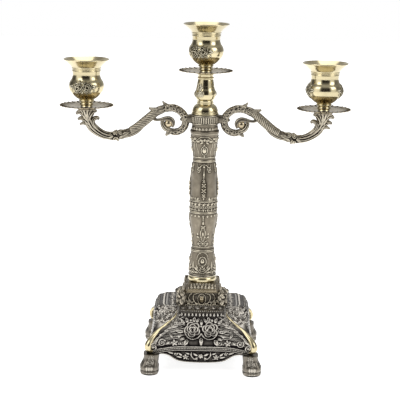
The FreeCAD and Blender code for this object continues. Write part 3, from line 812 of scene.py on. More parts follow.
def column():
    foot = [(14.0, 90.0), (14.3, 91.2), (14.0, 93.0), (13.9, 96.0), (13.5, 101.0), (13.0, 107.0),
            (12.3, 113.0), (12.0, 116.0), (12.3, 118.0)]
    lower = [(12.2, 118.0), (11.6, 120.0), (11.4, 122.0), (11.2, 127.0), (11.6, 133.0), (12.6, 140.0),
             (13.6, 146.0), (14.2, 152.0), (14.2, 156.0), (14.0, 159.0)]
    band = [(13.9, 159.0), (14.3, 161.0), (14.1, 163.0), (13.9, 165.0), (14.1, 167.0), (14.3, 169.0),
            (13.9, 171.0)]
    upper = [(13.5, 171.0), (13.7, 174.0), (13.5, 180.0), (13.4, 188.0), (13.1, 196.0), (12.4, 204.0),
             (11.9, 209.0), (11.6, 212.0)]
    head = [(11.5, 212.0), (11.5, 216.0), (11.6, 220.0), (12.5, 226.0), (13.3, 232.0), (13.9, 237.0),
            (14.5, 240.0), (14.9, 241.8), (14.4, 243.0), (13.4, 243.6), (13.0, 245.0), (13.3, 247.0)]
    column_piece("column_foot", foot, decorate_foot)
    column_piece("column_lower_shaft", lower, decorate_lower_shaft)
    column_piece("column_band", band, decorate_band)
    column_piece("column_upper_shaft", upper, decorate_upper_shaft)
    column_piece("column_head", head, decorate_head)
    ring = [(BORE_R, 84.0), (12.4, 84.0), (13.6, 84.3), (14.3, 85.2), (14.6, 86.8), (14.4, 88.2),
            (13.7, 89.4), (13.3, 90.0), (BORE_R, 90.0)]
    make_piece("pillar_seat_ring", [turned_sheet(ring, 0.3, 160, gloss=0.9)], BRASS, "root",
               ["column_base_ring"])


# ---- hub, dome and baluster ----
def hub():
    low, high = node_box("hub_ring")
    z0, z1 = low[2], high[2]
    r = (high[0] - low[0]) / 2
    relief = round_relief(r, z0, z1)
    flutes = 36
    pitch = 2 * relief.x1 / flutes
    for k in range(flutes):
        x = relief.x0 + (k + 0.5) * pitch
        relief.stroke([(x, z0 + 4.6), (x, z1 - 3.0)], pitch * 0.36, h=0.55)
    relief.line(z0 + 3.0, 0.45, 0.55)
    relief.line(z1 - 1.3, 0.5, 0.6)
    relief.line(z1 - 2.6, 0.3, 0.35)
    outer = [(12.9, z0), (13.2, z0 + 1.4), (13.6, z0 + 2.4), (13.9, z0 + 3.6), (13.7, z0 + 5.0),
             (13.6, z1 - 4), (13.7, z1 - 2.2), (13.8, z1 - 1.0), (13.5, z1)]
    sheets = [turned_sheet(outer, 0.25, 432, relief, r, gloss=0.1)] + bore_caps(*outer[0], *outer[-1])
    make_piece("hub_collar", sheets, COLUMN, "root", ["hub_ring"])


def dome():
    low, high = node_box("dome")
    z0, z1 = low[2], high[2]
    outer = [(BORE_R, z0), (13.2, z0), (13.7, z0 + 0.3), (13.75, z0 + 0.9), (13.4, z0 + 1.4),
             (13.2, z0 + 2.0), (13.1, z0 + 3.2), (12.5, z0 + 5.4), (11.4, z0 + 7.6), (9.8, z0 + 9.2),
             (8.6, z0 + 10.0), (8.3, z0 + 10.5), (8.5, z0 + 11.1), (8.2, z1), (BORE_R, z1)]
    make_piece("dome_bell", [turned_sheet(outer, 0.3, 200, gloss=1)], BRASS, "root", ["dome"])


def baluster():
    low, high = node_box("baluster")
    z0, z1 = low[2], high[2]
    r = 9.6
    relief = round_relief(r, z0, z1)
    for azimuth in (-48, 132):
        x = math.radians(azimuth) * r
        relief.rose(x + 3.4, z0 + 9.4, 3.4, 1.3, 0.4)
        relief.rose(x - 3.4, z0 + 8.8, 3.2, 1.3, 1.4)
        for angle, length in ((2.2, 6.4), (1.57, 8.0), (0.95, 6.6), (-0.5, 4.2), (-2.6, 4.2),
                              (-1.57, 3.6)):
            up = z0 + 11.0 + 1.5 * math.sin(angle)
            relief.leaf(x + 2.4 * math.cos(angle), up, angle, length, 2.4, 0.9)
        relief.leaf(x - 0.6, z0 + 15.5, 1.75, 5.6, 2.0, 0.8)
        relief.leaf(x + 1.6, z0 + 15.2, 1.2, 4.8, 1.8, 0.8)
    outer = [(BORE_R, z0), (7.6, z0), (8.1, z0 + 0.5), (8.2, z0 + 1.3), (8.0, z0 + 1.9), (8.7, z0 + 2.8),
             (9.8, z0 + 4.4), (10.6, z0 + 7.0), (10.7, z0 + 9.0), (10.1, z0 + 12.0), (9.1, z0 + 14.8),
             (8.7, z0 + 18.0), (8.1, z0 + 21.6), (7.7, z0 + 23.6), (8.3, z0 + 24.2), (8.5, z0 + 24.9),
             (8.2, z0 + 25.5), (7.6, z0 + 25.9), (7.7, z1 - 0.9), (7.9, z1), (BORE_R, z1)]
    make_piece("baluster_stem", [turned_sheet(outer, 0.26, 240, relief, r, gloss=1)], BRASS, "root",
               ["baluster"])


# ---- plinth ----
def square_rows(levels, step=0.3, columns=84):
    """Rows round a square with hollowed sides, from (corner, middle, z) levels, and the places along them."""
    path = smooth_path(levels, step)
    t = np.linspace(-1, 1, columns, endpoint=False)
    rows, lateral = [], []
    for corner, middle, z in path:
        out = middle + (corner - middle) * t ** 2
        side = np.stack([corner * t, -out, np.full(columns, z)], axis=-1)
        ring = []
        for quarter in range(4):
            c, s = math.cos(quarter * math.pi / 2), math.sin(quarter * math.pi / 2)
            ring.append(side @ np.array([[c, s, 0], [-s, c, 0], [0, 0, 1]]))
        rows.append(np.vstack(ring))
        lateral.append(np.tile(corner * t, 4))
    return np.array(rows), np.array(lateral)


def square_sheet(levels, relief=None, gloss=0.1, step=0.3, columns=84):
    points, lateral = square_rows(levels, step, columns)
    shade = np.zeros(points.shape[:2])
    if relief is not None:
        height = relief.sample(relief.h, lateral, points[..., 2])
        shade = relief.sample(relief.shade(1.6), lateral, points[..., 2])
        points = points + normals_of(points, True) * height[..., None]
    return Sheet(points, shade, np.full(shade.shape, float(gloss)))


def plinth():
    low, high = node_box("plinth")
    z0, z1 = low[2], high[2]
    die = Relief(-26, 26, z0 - 1, z0 + 14)
    die.beads((-23.8, z0 + 1.1), (23.8, z0 + 1.1), 1.95, 0.82, 0.9)
    mz = z0 + 6.2
    die.dome(0, mz, 2.9, 4.0, 1.2)
    die.ring(0, mz, 4.0, 0.4, 0.6, ry=5.1)
    half_shield = [(3.8, 12.2), (8.2, 10.6), (8.8, 6.6), (6.4, 2.6)]
    shield = [(-x, z0 + z) for x, z in half_shield] + [(0, z0 + 1.2)]
    shield += [(x, z0 + z) for x, z in half_shield[::-1]]
    die.stroke(shield, 0.55, h=0.8)
    pair = Mirrored(die)
    pair.stroke([(10.8, z0 + 12.0), (13.2, z0 + 9.6), (13.6, z0 + 6.6), (11.6, z0 + 4.0)], 0.6, 0.4, 0.9)
    pair.stroke([(16.8, z0 + 12.0), (17.6, z0 + 9.4), (17.0, z0 + 6.4), (15.0, z0 + 4.8)], 0.6, 0.4, 0.9)
    pair.floret(13.6, z0 + 3.0, 2.3, 1.0, 5)
    pair.leaf(15.2, z0 + 3.4, UP - 1.0, 5.2, 2.2, 0.8)
    pair.leaf(11.4, z0 + 2.6, UP + 1.2, 4.2, 1.8, 0.7)
    pair.leaf(19.0, z0 + 1.8, UP - 0.2, 6.0, 2.2, 0.8)
    die_levels = [(24.4, 22.4, z0), (24.0, 21.8, z0 + 1.8), (22.6, 20.0, z0 + 3.0), (21.4, 19.2, z0 + 6.0),
                  (20.4, 18.7, z0 + 10.0), (19.8, 18.4, z0 + 12.5)]
    plate_z = z0 + 12.3
    plate = [(r, r, plate_z + up) for r, up in (
        (17.0, 0.0), (18.3, 0.1), (18.8, 0.5), (18.8, 1.2), (18.3, 1.5), (18.2, 2.4),
        (18.3, 2.7), (18.8, 3.1), (18.8, 3.8), (18.3, 4.2), (17.0, 4.3))]
    flare = Relief(-20, 20, plate_z + 3.5, z1 + 1)
    for k in range(-4, 5):
        lean = k * 0.13
        flare.leaf(k * 3.5, plate_z + 4.3, UP - lean, 3.2, 2.2, 0.8, veins=2)
        flare.leaf(k * 3.0 + 1.4, plate_z + 6.6, UP - lean, 3.2, 1.8, 0.8, veins=2)
    flare_levels = [(18.4, 17.2, plate_z + 4.0), (17.8, 15.4, plate_z + 5.4), (17.4, 13.8, plate_z + 7.2),
                    (17.2, 13.0, z1 - 0.6), (16.6, 12.8, z1)]
    top = [(16.6, 12.8, z1), (8.0, 7.4, z1), (3.6, 3.4, z1 - 0.05)]
    sheets = [square_sheet([(3.6, 3.4, z0), (24.4, 22.4, z0)], step=2, columns=24),
              square_sheet(die_levels, die, 0.0, 0.26, 128),
              square_sheet(plate, None, 0.75, 0.25, 30),
              square_sheet(flare_levels, flare, 0.15, 0.26, 96),
              square_sheet(top, None, 0.1, 1.2, 24)]
    boss = [(0.1, -3.4), (1.2, -3.0), (2.1, -1.7), (2.4, 0.0), (2.1, 1.7), (1.2, 3.0), (0.1, 3.4)]
    boss_at = (0, -20.2, z0 + 6.3)
    for quarter in range(4):
        sheets.append(turned_about(turned_sheet(boss, 0.3, 36, at=boss_at, gloss=1), quarter * 90))
        sheets += corner_horn(z0, z1, quarter * 90 + 45, quarter in (0, 3))
    return make_piece("plinth_casting", sheets, COLUMN, "root", ["plinth"])


def corner_horn(z0, z1, degrees, tall):
    """A leafy bracket on one corner of the die, tall in front and low at the back, and the flare's post."""
    ribs = Relief(-12, 12, 0, 26, wraps=True)
    for k in range(4):
        for up in range(4):
            lean = 0.35 * (-1) ** (k + up)
            ribs.leaf(-9 + 6 * k, 1.0 + 4.6 * up, UP + lean, 6.6, 4.2, 0.9, veins=3)
            ribs.leaf(-12 + 6 * k, 3.0 + 4.6 * up, UP - lean, 5.4, 2.6, 0.8, veins=2)
    if tall:
        line = [(31.0, 0.6, 5.6, 2.6), (30.2, 5.0, 5.8, 2.6), (29.8, 10.0, 5.7, 2.5), (30.4, 14.0, 5.4, 2.2),
                (32.2, 16.6, 4.8, 1.8), (34.0, 17.0, 4.2, 1.3), (34.9, 15.6, 3.6, 0.9),
                (34.0, 14.4, 3.0, 0.7)]
    else:
        line = [(31.0, 0.6, 4.4, 2.4), (30.4, 2.4, 4.4, 2.2), (31.2, 4.4, 4.0, 1.8), (32.8, 5.2, 3.6, 1.3),
                (33.8, 4.2, 3.0, 0.8)]
    horn = sweep([(0, -out, z0 + z) for out, z, w, t in line], [(w, t) for out, z, w, t in line], 40, 0.4,
                 ribs, (1, 0, 0), power=2.6)
    post = sweep([(0, -23.6, z1 - 7.0), (0, -23.4, z1 - 4.0), (0, -23.0, z1 - 0.8), (0, -23.0, z1 - 0.2)],
                 [(2.6, 1.9), (2.4, 1.8), (2.2, 1.6), (1.4, 0.9)], 28, 0.4, None, (1, 0, 0), power=3.0)
    return [turned_about(part, degrees) for part in (horn, post)]


# ---- base ----
# the panel's section from the plinth out over its crest and down to the apron: place along it as a canvas
# height, corner, middle, height
PANEL_SECTION = [
    (80.4, 24.3, 24.5, 62.5), (71.0, 24.3, 34.0, 62.6), (66.5, 24.3, 40.6, 62.5), (63.4, 24.3, 44.0, 61.7),
    (60.6, 24.5, 46.6, 60.0), (57.0, 24.7, 48.2, 57.2), (54.0, 25.4, 49.0, 54.2), (50.0, 29.2, 49.3, 50.4),
    (46.2, 36.4, 49.3, 46.4), (42.5, 43.2, 49.5, 42.6), (36.5, 50.4, 50.3, 36.6), (32.0, 53.0, 51.0, 32.0),
    (28.0, 53.8, 51.3, 28.0), (24.0, 53.4, 51.0, 24.0), (12.0, 52.4, 50.5, 12.0),
]
APRON_TOP = 24.0
APRON_LOW = 12.0
PANEL_WALL = 2.2
PANEL_RELIEF = 0.68      # share of the canvas height that stands out of a panel


def apron_edge(lateral):
    """Height of the apron's lower edge: a shallow bow in the middle, rising in a curve to the feet."""
    away = np.abs(lateral)
    return np.interp(away, [0, 8, 14, 18, 22, 25, 28, 30.5, 33, 35.5, 38, 60],
                     [10.9, 11.0, 11.3, 11.7, 12.4, 13.4, 14.9, 16.6, 18.2, 19.2, 19.7, 19.9])


def panel_relief():
    """Two roses on a field of wavy lines, with sprays, volutes, a bead moulding and a carved apron."""
    h = Relief(-62, 62, 11.0, 81.0)
    pair = Mirrored(h)
    for k in range(30):
        wavy_line(pair, k, 30.5 + 0.95 * k)
    for s in (-1, 1):
        h.rose(s * 8.95, 46.3, 8.3, 1.9, 0.5 * s)
    pair.leaf(18.2, 43.6, 0.12, 8.2, 4.6, 1.5, veins=4)
    pair.leaf(19.0, 40.6, -0.35, 7.0, 2.6, 1.0)
    for x, y, angle, length, width in ((16.8, 52.0, 0.75, 6.2, 3.6), (13.8, 53.0, 1.25, 5.4, 3.2),
                                       (7.8, 53.6, 1.75, 5.6, 3.4), (5.2, 53.4, 2.2, 4.8, 2.6)):
        pair.leaf(x, y, angle, length, width, 1.3, veins=3)
    pair.dome(10.8, 55.4, 1.1, h=1.2)
    pair.leaf(13.8, 35.4, -1.05, 7.2, 4.4, 1.5, veins=3)
    pair.leaf(17.2, 37.4, -0.55, 5.2, 2.6, 1.1)
    garland = [(0.2, 42.0), (1.9, 39.0), (4.8, 36.9), (9.0, 36.0), (13.0, 37.6), (16.0, 41.4), (17.3, 45.4)]
    pair.stroke(garland, 0.5, 0.42, 1.7)
    pair.floret(27.0, 32.2, 3.4, 1.4, 5, 0.5)
    for s in (-1, 1):
        h.ring(s * 27.0, 32.2, 1.0, 0.3, 1.4)
    pair.leaf(23.2, 37.2, UP + 0.55, 5.4, 2.4, 1.2)
    pair.leaf(29.0, 37.2, UP - 0.6, 6.0, 2.4, 1.2)
    for x in (18.6, 20.8, 22.6):
        pair.dome(x, 32.6 - 0.3 * (x - 18), 0.85, h=1.1)
    pair.scroll(39.6, 32.0, 3.8, 1.6, 0.6, -1, 0.7, 1.0)
    pair.leaf(35.0, 31.0, UP + 0.9, 4.6, 2.0, 1.0, veins=3)
    pair.scroll(48.4, 27.2, 4.6, 1.7, 1.0, -1, 0.8, 1.1)
    pair.dome(48.4, 27.2, 1.4, h=1.5)
    for k in range(5):
        pair.stroke([(33.5 + 2.6 * k, 43.8 - 1.9 * k), (38.4 + 2.4 * k, 41.4 - 2.0 * k),
                     (42.6 + 2.1 * k, 37.4 - 2.0 * k), (45.4 + 1.6 * k, 32.6 - 1.0 * k)], 0.6, 0.4, 0.9)
    h.leaf(0, 37.4, DOWN, 7.8, 4.0, 1.6, veins=3)
    h.leaf(0, 50.2, UP, 6.4, 2.8, 1.2, veins=3)
    h.dome(0, 49.2, 1.0, h=1.2)
    flank_relief(h)
    moulding(h)
    apron(h)
    for k in range(22):
        h.dome((k - 10.5) * 1.98, 67.2, 0.82, 0.9, 0.8)
    for k in range(12):
        h.dome((k - 5.5) * 3.66, 61.6, 1.0, 2.1, 0.9)
    crest_relief(h)
    h.h += (0.4 * np.exp(-((h.row_heights() - 69.2) / 0.5) ** 2))[:, None]
    return h


def wavy_line(pair, k, y):
    """One line of the field on each side, from the roses out to the flank. Every third is stronger."""
    x_in = 18.5 + 2.0 * math.sin(k * 1.7)
    x_out = 25.0 + (57.0 - y) * 0.95
    if x_out < x_in + 4:
        return
    strong = k % 3 == 0
    points = []
    for j in range(6):
        t = j / 5
        points.append((x_in + (x_out - x_in) * t,
                       y + 0.8 * math.sin(t * 5.0 + k * 0.9) - 3.0 * t ** 2 * (y - 28) / 28))
    pair.stroke(points, 0.34 + 0.16 * strong, 0.28, 0.28 + 0.22 * strong, 0.3)


def crest_relief(h):
    """Leafy scrolls along the level crest, under the foot of the plinth."""
    for k in range(26):
        h.dome((k - 12.5) * 1.9, 79.0, 0.8, h=0.8)
    pair = Mirrored(h)
    for k, (x, y) in enumerate(((4.4, 74.2), (12.0, 74.8), (19.4, 74.2))):
        pair.scroll(x, y, 2.7, 1.5, 0.7 * k, (-1) ** k, 0.55, 0.95)
        pair.leaf(x + 3.6, y - 2.6, UP - 0.5, 5.0, 2.2, 0.9, veins=3)
        pair.leaf(x - 3.4, y + 2.4, DOWN + 0.5, 4.6, 1.9, 0.8, veins=3)
    pair.dome(8.2, 71.6, 0.6, h=0.7)
    pair.dome(15.8, 77.6, 0.6, h=0.7)


def flank_relief(h):
    """Rococo scrolls and leaves on the sides of each pillow."""
    pair = Mirrored(h)
    pair.scroll(34.0, 55.6, 3.6, 1.5, 0.4, 1, 0.7, 1.2)
    pair.scroll(27.5, 51.6, 3.0, 1.5, 2.0, -1, 0.6, 1.1)
    pair.scroll(41.0, 59.4, 3.0, 1.4, 1.2, -1, 0.6, 1.1)
    pair.floret(30.4, 57.4, 2.6, 1.2, 5)
    pair.floret(37.6, 51.2, 2.4, 1.1, 5)
    pair.stroke([(24.0, 58.6), (27.0, 61.4), (33.0, 61.6), (39.0, 63.6), (45.0, 63.2)], 0.5, 0.4, 0.9)
    pair.stroke([(24.4, 48.8), (29.4, 47.4), (34.6, 48.8), (39.8, 47.6)], 0.5, 0.4, 0.9)
    for x, y, angle in ((25.4, 55.2, 1.2), (31.0, 53.4, 2.3), (36.6, 58.6, 0.5), (38.4, 55.2, -0.7),
                        (42.4, 55.0, 1.0), (33.0, 59.2, 2.6), (28.0, 47.6, 0.2), (43.4, 50.6, 0.4)):
        pair.leaf(x, y, angle, 5.0, 2.0, 1.0, veins=3)
    for k in range(9):
        pair.dome(24.6 + 2.2 * k, 65.4, 0.6, h=0.6)
    for row in range(7):
        for k in range(6):
            x = 25.6 + 4.4 * k + 1.1 * math.sin(2.1 * row + k)
            y = 38.6 + 4.3 * row + 0.9 * math.sin(1.7 * k + row)
            if x < 26 + (52.0 - y) * 1.1:
                continue
            angle = 1.3 * math.sin(1.9 * k + 2.7 * row) + UP
            pair.leaf(x, y, angle, 4.4, 2.1, 0.75, veins=2)
            if (row + k) % 3 == 0:
                pair.scroll(x + 1.2, y + 0.6, 1.7, 1.3, angle, 1, 0.42, 0.8)


def moulding(h):
    """A bead row between two plain ridges, level in the middle and dropping a little to the corners."""
    for x in np.arange(-50.0, 50.01, 0.3):
        h.dome(x, 28.2 - moulding_drop(x), 0.55, h=1.7)
        h.dome(x, 24.7 - moulding_drop(x), 0.55, h=1.6)
    for x in np.arange(-49.5, 49.51, 1.42):
        h.dome(x, 26.5 - moulding_drop(x), 0.66, 0.8, 1.35)


def moulding_drop(x):
    return 3.6 * (max(abs(x) - 22, 0) / 24) ** 1.6


def apron(h):
    """Flowers and leafy scrolls on the apron, inside a plain edge."""
    for x in np.arange(-41.0, 41.01, 0.3):
        h.dome(x, float(apron_edge(x)) + 0.7, 0.6, h=1.0)
    h.floret(0, 18.2, 2.6, 1.4, 6)
    pair = Mirrored(h)
    pair.floret(15.6, 17.2, 3.0, 1.4, 5)
    pair.stroke([(3.6, 14.4), (7.2, 15.6), (9.8, 18.8), (9.6, 22.4)], 0.45, 0.4, 1.1)
    pair.leaf(3.4, 18.6, 0.5, 5.2, 2.2, 1.1, veins=3)
    pair.leaf(3.0, 16.6, -0.4, 5.0, 1.9, 1.0, veins=3)
    pair.leaf(11.6, 20.2, 0.4, 4.4, 1.8, 1.0, veins=3)
    pair.leaf(19.0, 18.4, 0.7, 5.4, 2.0, 1.1, veins=3)
    pair.leaf(19.2, 16.6, 0.2, 5.8, 1.9, 1.0, veins=3)
    pair.scroll(25.6, 20.6, 1.9, 1.2, 0.4, 1, 0.45, 1.0)
    pair.leaf(28.0, 20.8, 0.25, 6.4, 1.8, 0.9, veins=3)
    pair.dome(12.4, 15.0, 0.6, h=0.9)
    pair.dome(6.0, 20.8, 0.6, h=0.9)


def panel_points(columns=196, step=0.42):
    """The front panel's grid, with each point's place on the canvas."""
    path = smooth_path([(v, c, p, z) for v, c, p, z in PANEL_SECTION], step)
    fine = np.linspace(-1, 1, 801)
    rows, canvas_x, canvas_y = [], [], []
    for v, corner, middle, z in path:
        round_off = min(max((v - 44.0) / 13.0, 0.0), 1.0)
        full = (1 - np.abs(fine) ** (5 + 4 * round_off)) ** (1 / (3 + 0.8 * round_off))
        lateral = corner * fine
        out = corner + (middle - corner) * full
        arc = np.concatenate([[0], np.cumsum(np.hypot(np.diff(lateral), np.diff(out)))])
        arc -= arc[-1] / 2
        want = np.linspace(arc[0], arc[-1], columns)
        x = np.interp(want, arc, lateral)
        y = -np.interp(want, arc, out)
        zz = np.full(columns, z)
        if v < APRON_TOP:
            w = (APRON_TOP - v) / (APRON_TOP - APRON_LOW)
            zz = APRON_TOP - w * (APRON_TOP - apron_edge(x))
        rows.append(np.stack([x, y, zz], axis=-1))
        canvas_x.append(want)
        canvas_y.append(np.where(v < APRON_TOP, zz, v))
    return np.array(rows)[::-1], np.array(canvas_x)[::-1], np.array(canvas_y)[::-1]


def base_panels():
    relief = panel_relief()
    points, cx, cy = panel_points()
    height = relief.sample(relief.h, cx, cy)
    normal = normals_of(points, False)
    edge = np.clip((np.abs(cx[:, -1:]) - np.abs(cx)) / 1.2, 0, 1)
    shade = relief.sample(relief.shade(1.8), cx, cy)
    # Painted light: the flanks of each pillow get a painted highlight and the flat tops are painted lighter.
    # The plain field low on the panel, away from the flanks, is made darker.
    flank = np.clip((np.abs(cx) - 23.0) / 3.0, 0, 1) * np.clip((cy - 42.0) / 5.0, 0, 1)
    top = np.clip((cy - 62.0) / 4.0, 0, 1)
    field = np.clip(1 - height / 0.12, 0, 1) * np.clip((60.0 - cy) / 3.0, 0, 1)
    shade = np.clip(shade + 0.80 * flank + 0.30 * top - 0.22 * field * (1 - flank), -1, 1)
    outer = points + normal * (height * edge * PANEL_RELIEF)[..., None]
    inner = points - normal * PANEL_WALL
    sheets = [Sheet(outer, shade, closed=False),
              Sheet(inner[::3, ::6], -0.2, closed=False, flip=True),
              Sheet(np.concatenate([inner[:1], outer[:1]]), 0.0, 0.2, closed=False)]
    for name, side in (("front", 0), ("right", 90), ("back", 180), ("left", 270)):
        make_piece("base_panel_" + name, [turned_about(sheet, side) for sheet in sheets], BRONZE, "root",
                   ["base_body"])


def base_ribs():
    """The polished ribs that run down the four corners and curl in over the feet."""
    line = [(24.0, 57.6), (25.6, 54.2), (29.6, 50.2), (36.6, 46.2), (43.4, 42.2), (49.4, 37.2), (52.9, 32.4),
            (53.9, 28.6), (53.0, 25.0), (50.8, 23.2), (48.6, 24.0)]
    half = [0.9, 1.1, 1.3, 1.6, 2.0, 2.6, 3.1, 3.3, 3.0, 2.4, 1.4]
    parts = []
    for quarter in range(4):
        spine = [(0, -c * math.sqrt(2), z) for c, z in line]
        rib = sweep(spine, [(w * 1.15, w * 0.85) for w in half], 36, 0.6, None, (1, 0, 0), gloss=1)
        parts.append(turned_about(rib, quarter * 90 + 45))
    make_piece("base_ribs", parts, BRASS, "root", ["base_body"])


# ---- feet ----
def foot(corner):
    """A paw: toes over a plinth line, a leaf up the shin, and scrolls at its sides."""
    sx, sy = CORNERS[corner]
    low, high = node_box("foot_" + corner)
    cx, cy, z0 = (low[0] + high[0]) / 2, (low[1] + high[1]) / 2, low[2]
    # radius, height and lean towards the middle of the object
    levels = [(0.5, 0.2, 0), (8.3, 0.3, 0), (9.0, 0.7, 0), (9.3, 1.6, 0), (9.2, 2.8, 0), (8.7, 3.6, 0),
              (8.9, 4.4, 0), (9.2, 6.0, 0), (9.0, 8.0, 0), (8.3, 10.0, 0.3), (7.6, 12.0, 0.9),
              (7.2, 14.4, 1.5), (7.3, 17.0, 1.9), (7.8, 19.2, 2.0), (7.6, 19.8, 2.0), (0.5, 19.8, 2.0)]
    path = smooth_path(levels, 0.35)
    columns = 160
    a = -math.pi + TAU * np.arange(columns) / columns
    square = 1 / (np.abs(np.cos(a)) ** 4 + np.abs(np.sin(a)) ** 4) ** 0.25
    relief = Relief(-72, 72, 0, 20, wraps=True)
    for x in range(-72, 72, 36):
        for toe in (-6.6, -2.2, 2.2, 6.6):
            relief.dome(x + toe, 6.0, 1.9, 2.6, 0.9)
            relief.dome(x + toe, 3.9, 0.9, 1.0, 0.7)
            relief.dome(x + toe, 1.7, 1.4, 1.0, 0.35)
        relief.leaf(x, 8.6, UP, 10.0, 5.2, 1.0)
        pair = Mirrored(relief, x)
        pair.leaf(3.0, 8.8, UP - 0.35, 8.0, 2.8, 0.8)
        pair.scroll(6.6, 16.0, 2.4, 1.2, UP, 1, 0.6, 0.8)
        pair.leaf(8.0, 9.0, UP - 0.1, 5.6, 2.4, 0.7)
    relief.line(3.7, 0.35, -0.3)
    gx, gy = np.meshgrid(a / TAU * (relief.x1 - relief.x0), path[:, 1])
    lean = path[:, 2:3]
    r = path[:, 0:1] * square
    px = r * np.sin(a) - sx * lean
    py = -r * np.cos(a) - sy * lean
    pz = np.broadcast_to(path[:, 1:2] + z0, px.shape)
    points = np.stack([px + cx, py + cy, pz], axis=-1)
    fade = np.clip(path[:, 0:1] / 8 - 0.6, 0, 0.3) / 0.3
    height = relief.sample(relief.h, gx, gy) * fade * 0.8
    points = points + normals_of(points, True) * height[..., None]
    points = np.clip(points, low, high + np.array([0, 0, 1.0]))
    sheet = Sheet(points, relief.sample(relief.shade(1.6), gx, gy), 0.15)
    make_piece("paw_" + corner, [sheet], BRONZE, "root", ["foot_" + corner])


# ---- arms ----
# centre line of the left arm from the cup seat to the scroll's end: x, z, half width, half thickness
ARM_LINE = [
    (-120.0, 259.6, 5.4, 5.4), (-119.8, 255.0, 5.2, 4.8), (-117.8, 249.4, 5.0, 4.8),
    (-114.4, 243.8, 4.8, 4.9), (-109.0, 239.3, 4.5, 4.6), (-102.5, 236.0, 4.3, 4.2),
    (-96.0, 234.9, 4.3, 4.1), (-89.0, 235.4, 4.8, 4.8), (-80.0, 237.9, 4.4, 4.4),
    (-70.0, 243.4, 4.5, 4.5), (-60.0, 251.4, 4.6, 4.7), (-50.5, 259.4, 4.4, 4.4),
    (-42.0, 263.5, 4.2, 4.1), (-33.5, 264.7, 4.1, 4.1), (-27.0, 262.6, 4.0, 4.0),
    (-22.5, 258.8, 4.1, 4.0), (-19.9, 254.0, 4.2, 4.1), (-19.7, 249.2, 4.1, 4.0),
    (-21.6, 244.5, 3.9, 3.8), (-25.6, 241.2, 3.8, 3.8), (-30.6, 240.0, 3.7, 3.7),
    (-35.2, 241.0, 3.5, 3.2), (-38.6, 243.4, 3.0, 2.3), (-40.8, 246.8, 2.5, 1.6),
]
ARM_CORE = 0.86          # share of the outline that the bar takes under its relief


def path_place(line, x, near):
    """Distance along a line of (x, z) points to where it passes x, for the stretch near the given height."""
    pts = smooth_path([(p[0], p[1]) for p in line], 0.45)
    s = np.concatenate([[0], np.cumsum(np.hypot(*np.diff(pts, axis=0).T))])
    return float(s[np.argmin(np.hypot(pts[:, 0] - x, pts[:, 1] - near))])


def arm_relief(length):
    """Acanthus ribs, a knot, a leaf sheath, rope fluting and a scaly beaded scroll, along the bar."""
    g = 13.0
    relief = Relief(-g, g, 0, length + 2, wraps=True)
    knot = path_place(ARM_LINE, -91.0, 235.4)
    rope0 = path_place(ARM_LINE, -72.0, 242.2)
    rope1 = path_place(ARM_LINE, -49.0, 260.2)
    turn = path_place(ARM_LINE, -20.6, 252.0)
    for k in range(10):
        x = -g + (k + 0.5) * 2.6
        relief.stroke([(x, 2.0), (x + 0.5, knot * 0.5), (x + 1.4, knot - 5.0)], 0.75, 0.55, 0.75)
    for k in range(4):
        x = -g + (k + 0.5) * 6.5
        relief.scroll(x, knot, 2.6, 1.4, 0.8, 1, 0.7, 1.3)
        relief.dome(x + 3.2, knot - 2.8, 0.9, h=1.0)
        for d in (-1, 1):
            relief.leaf(x, knot + 3.4, UP + d * 0.5, 7.0, 2.6, 1.1)
            relief.leaf(x + 3.2, knot - 2.0, DOWN + d * 0.45, 6.0, 2.4, 1.0)
        relief.leaf(x + 3.2, knot + 6.0, UP, 9.0, 4.4, 0.9)
    flutes = 13
    for k in range(-flutes, 2 * flutes):
        x = -g + k * 2 * g / flutes
        relief.stroke([(x, rope0 - 3.0), (x + g * 0.75, (rope0 + rope1) / 2), (x + g * 1.5, rope1 + 3.0)],
                      0.8, 0.8, 0.6)
    for k in range(8):
        relief.leaf(-g + k * 3.25, rope1 + 1.0, UP - 0.15, 8.0, 3.4, 1.0)
    rows = math.ceil((length - 3.0 - (rope1 + 8.5)) / 3.5)
    for row in range(rows):
        for k in range(6):
            x = -g + (k + 0.5 * (row % 2) + 0.18 * math.sin(2.3 * row + 1.7 * k)) * 2 * g / 6
            y = rope1 + 8.5 + 3.5 * row + 0.5 * math.sin(1.9 * k + row)
            relief.ring(x, y, 1.45 + 0.25 * math.sin(row + k), 0.36, 0.5, ry=1.9)
            relief.leaf(x + 1.2, y - 1.4, 0.9 + 0.5 * math.sin(k + 2.0 * row), 4.0, 1.9, 0.65, veins=2)
            relief.dome(x + 2.0, y + 1.6, 0.6, h=0.5)
    for side in (-3.4, 3.4):
        relief.stroke([(side, rope1 + 7.0), (side, turn), (side, length - 1.0)], 0.4, 0.4, 0.7)
    return relief


def leaf_blade(stations, width, seed=0):
    """An acanthus blade along (x, z, half thickness) stations in the XZ plane, wide across Y, with ribs."""
    last = len(stations) - 1
    size = []
    for k, (x, z, thick) in enumerate(stations):
        t = k / last
        size.append((width * (0.8 + 0.35 * math.sin(math.pi * t)) * (1 - 0.75 * t ** 3), thick))
    ribs = Relief(-10, 10, 0, 40, wraps=True)
    for k in range(8):
        x = -8.75 + 2.5 * k
        ribs.stroke([(x, -1), (x + 0.4 * math.sin(k + seed), 20), (x, 40)], 0.95, 0.7, 0.55)
    line = [(x, 0.0, z) for x, z, thick in stations]
    return sweep(line, size, 44, 0.4, ribs, (0, 1, 0), power=2.2)


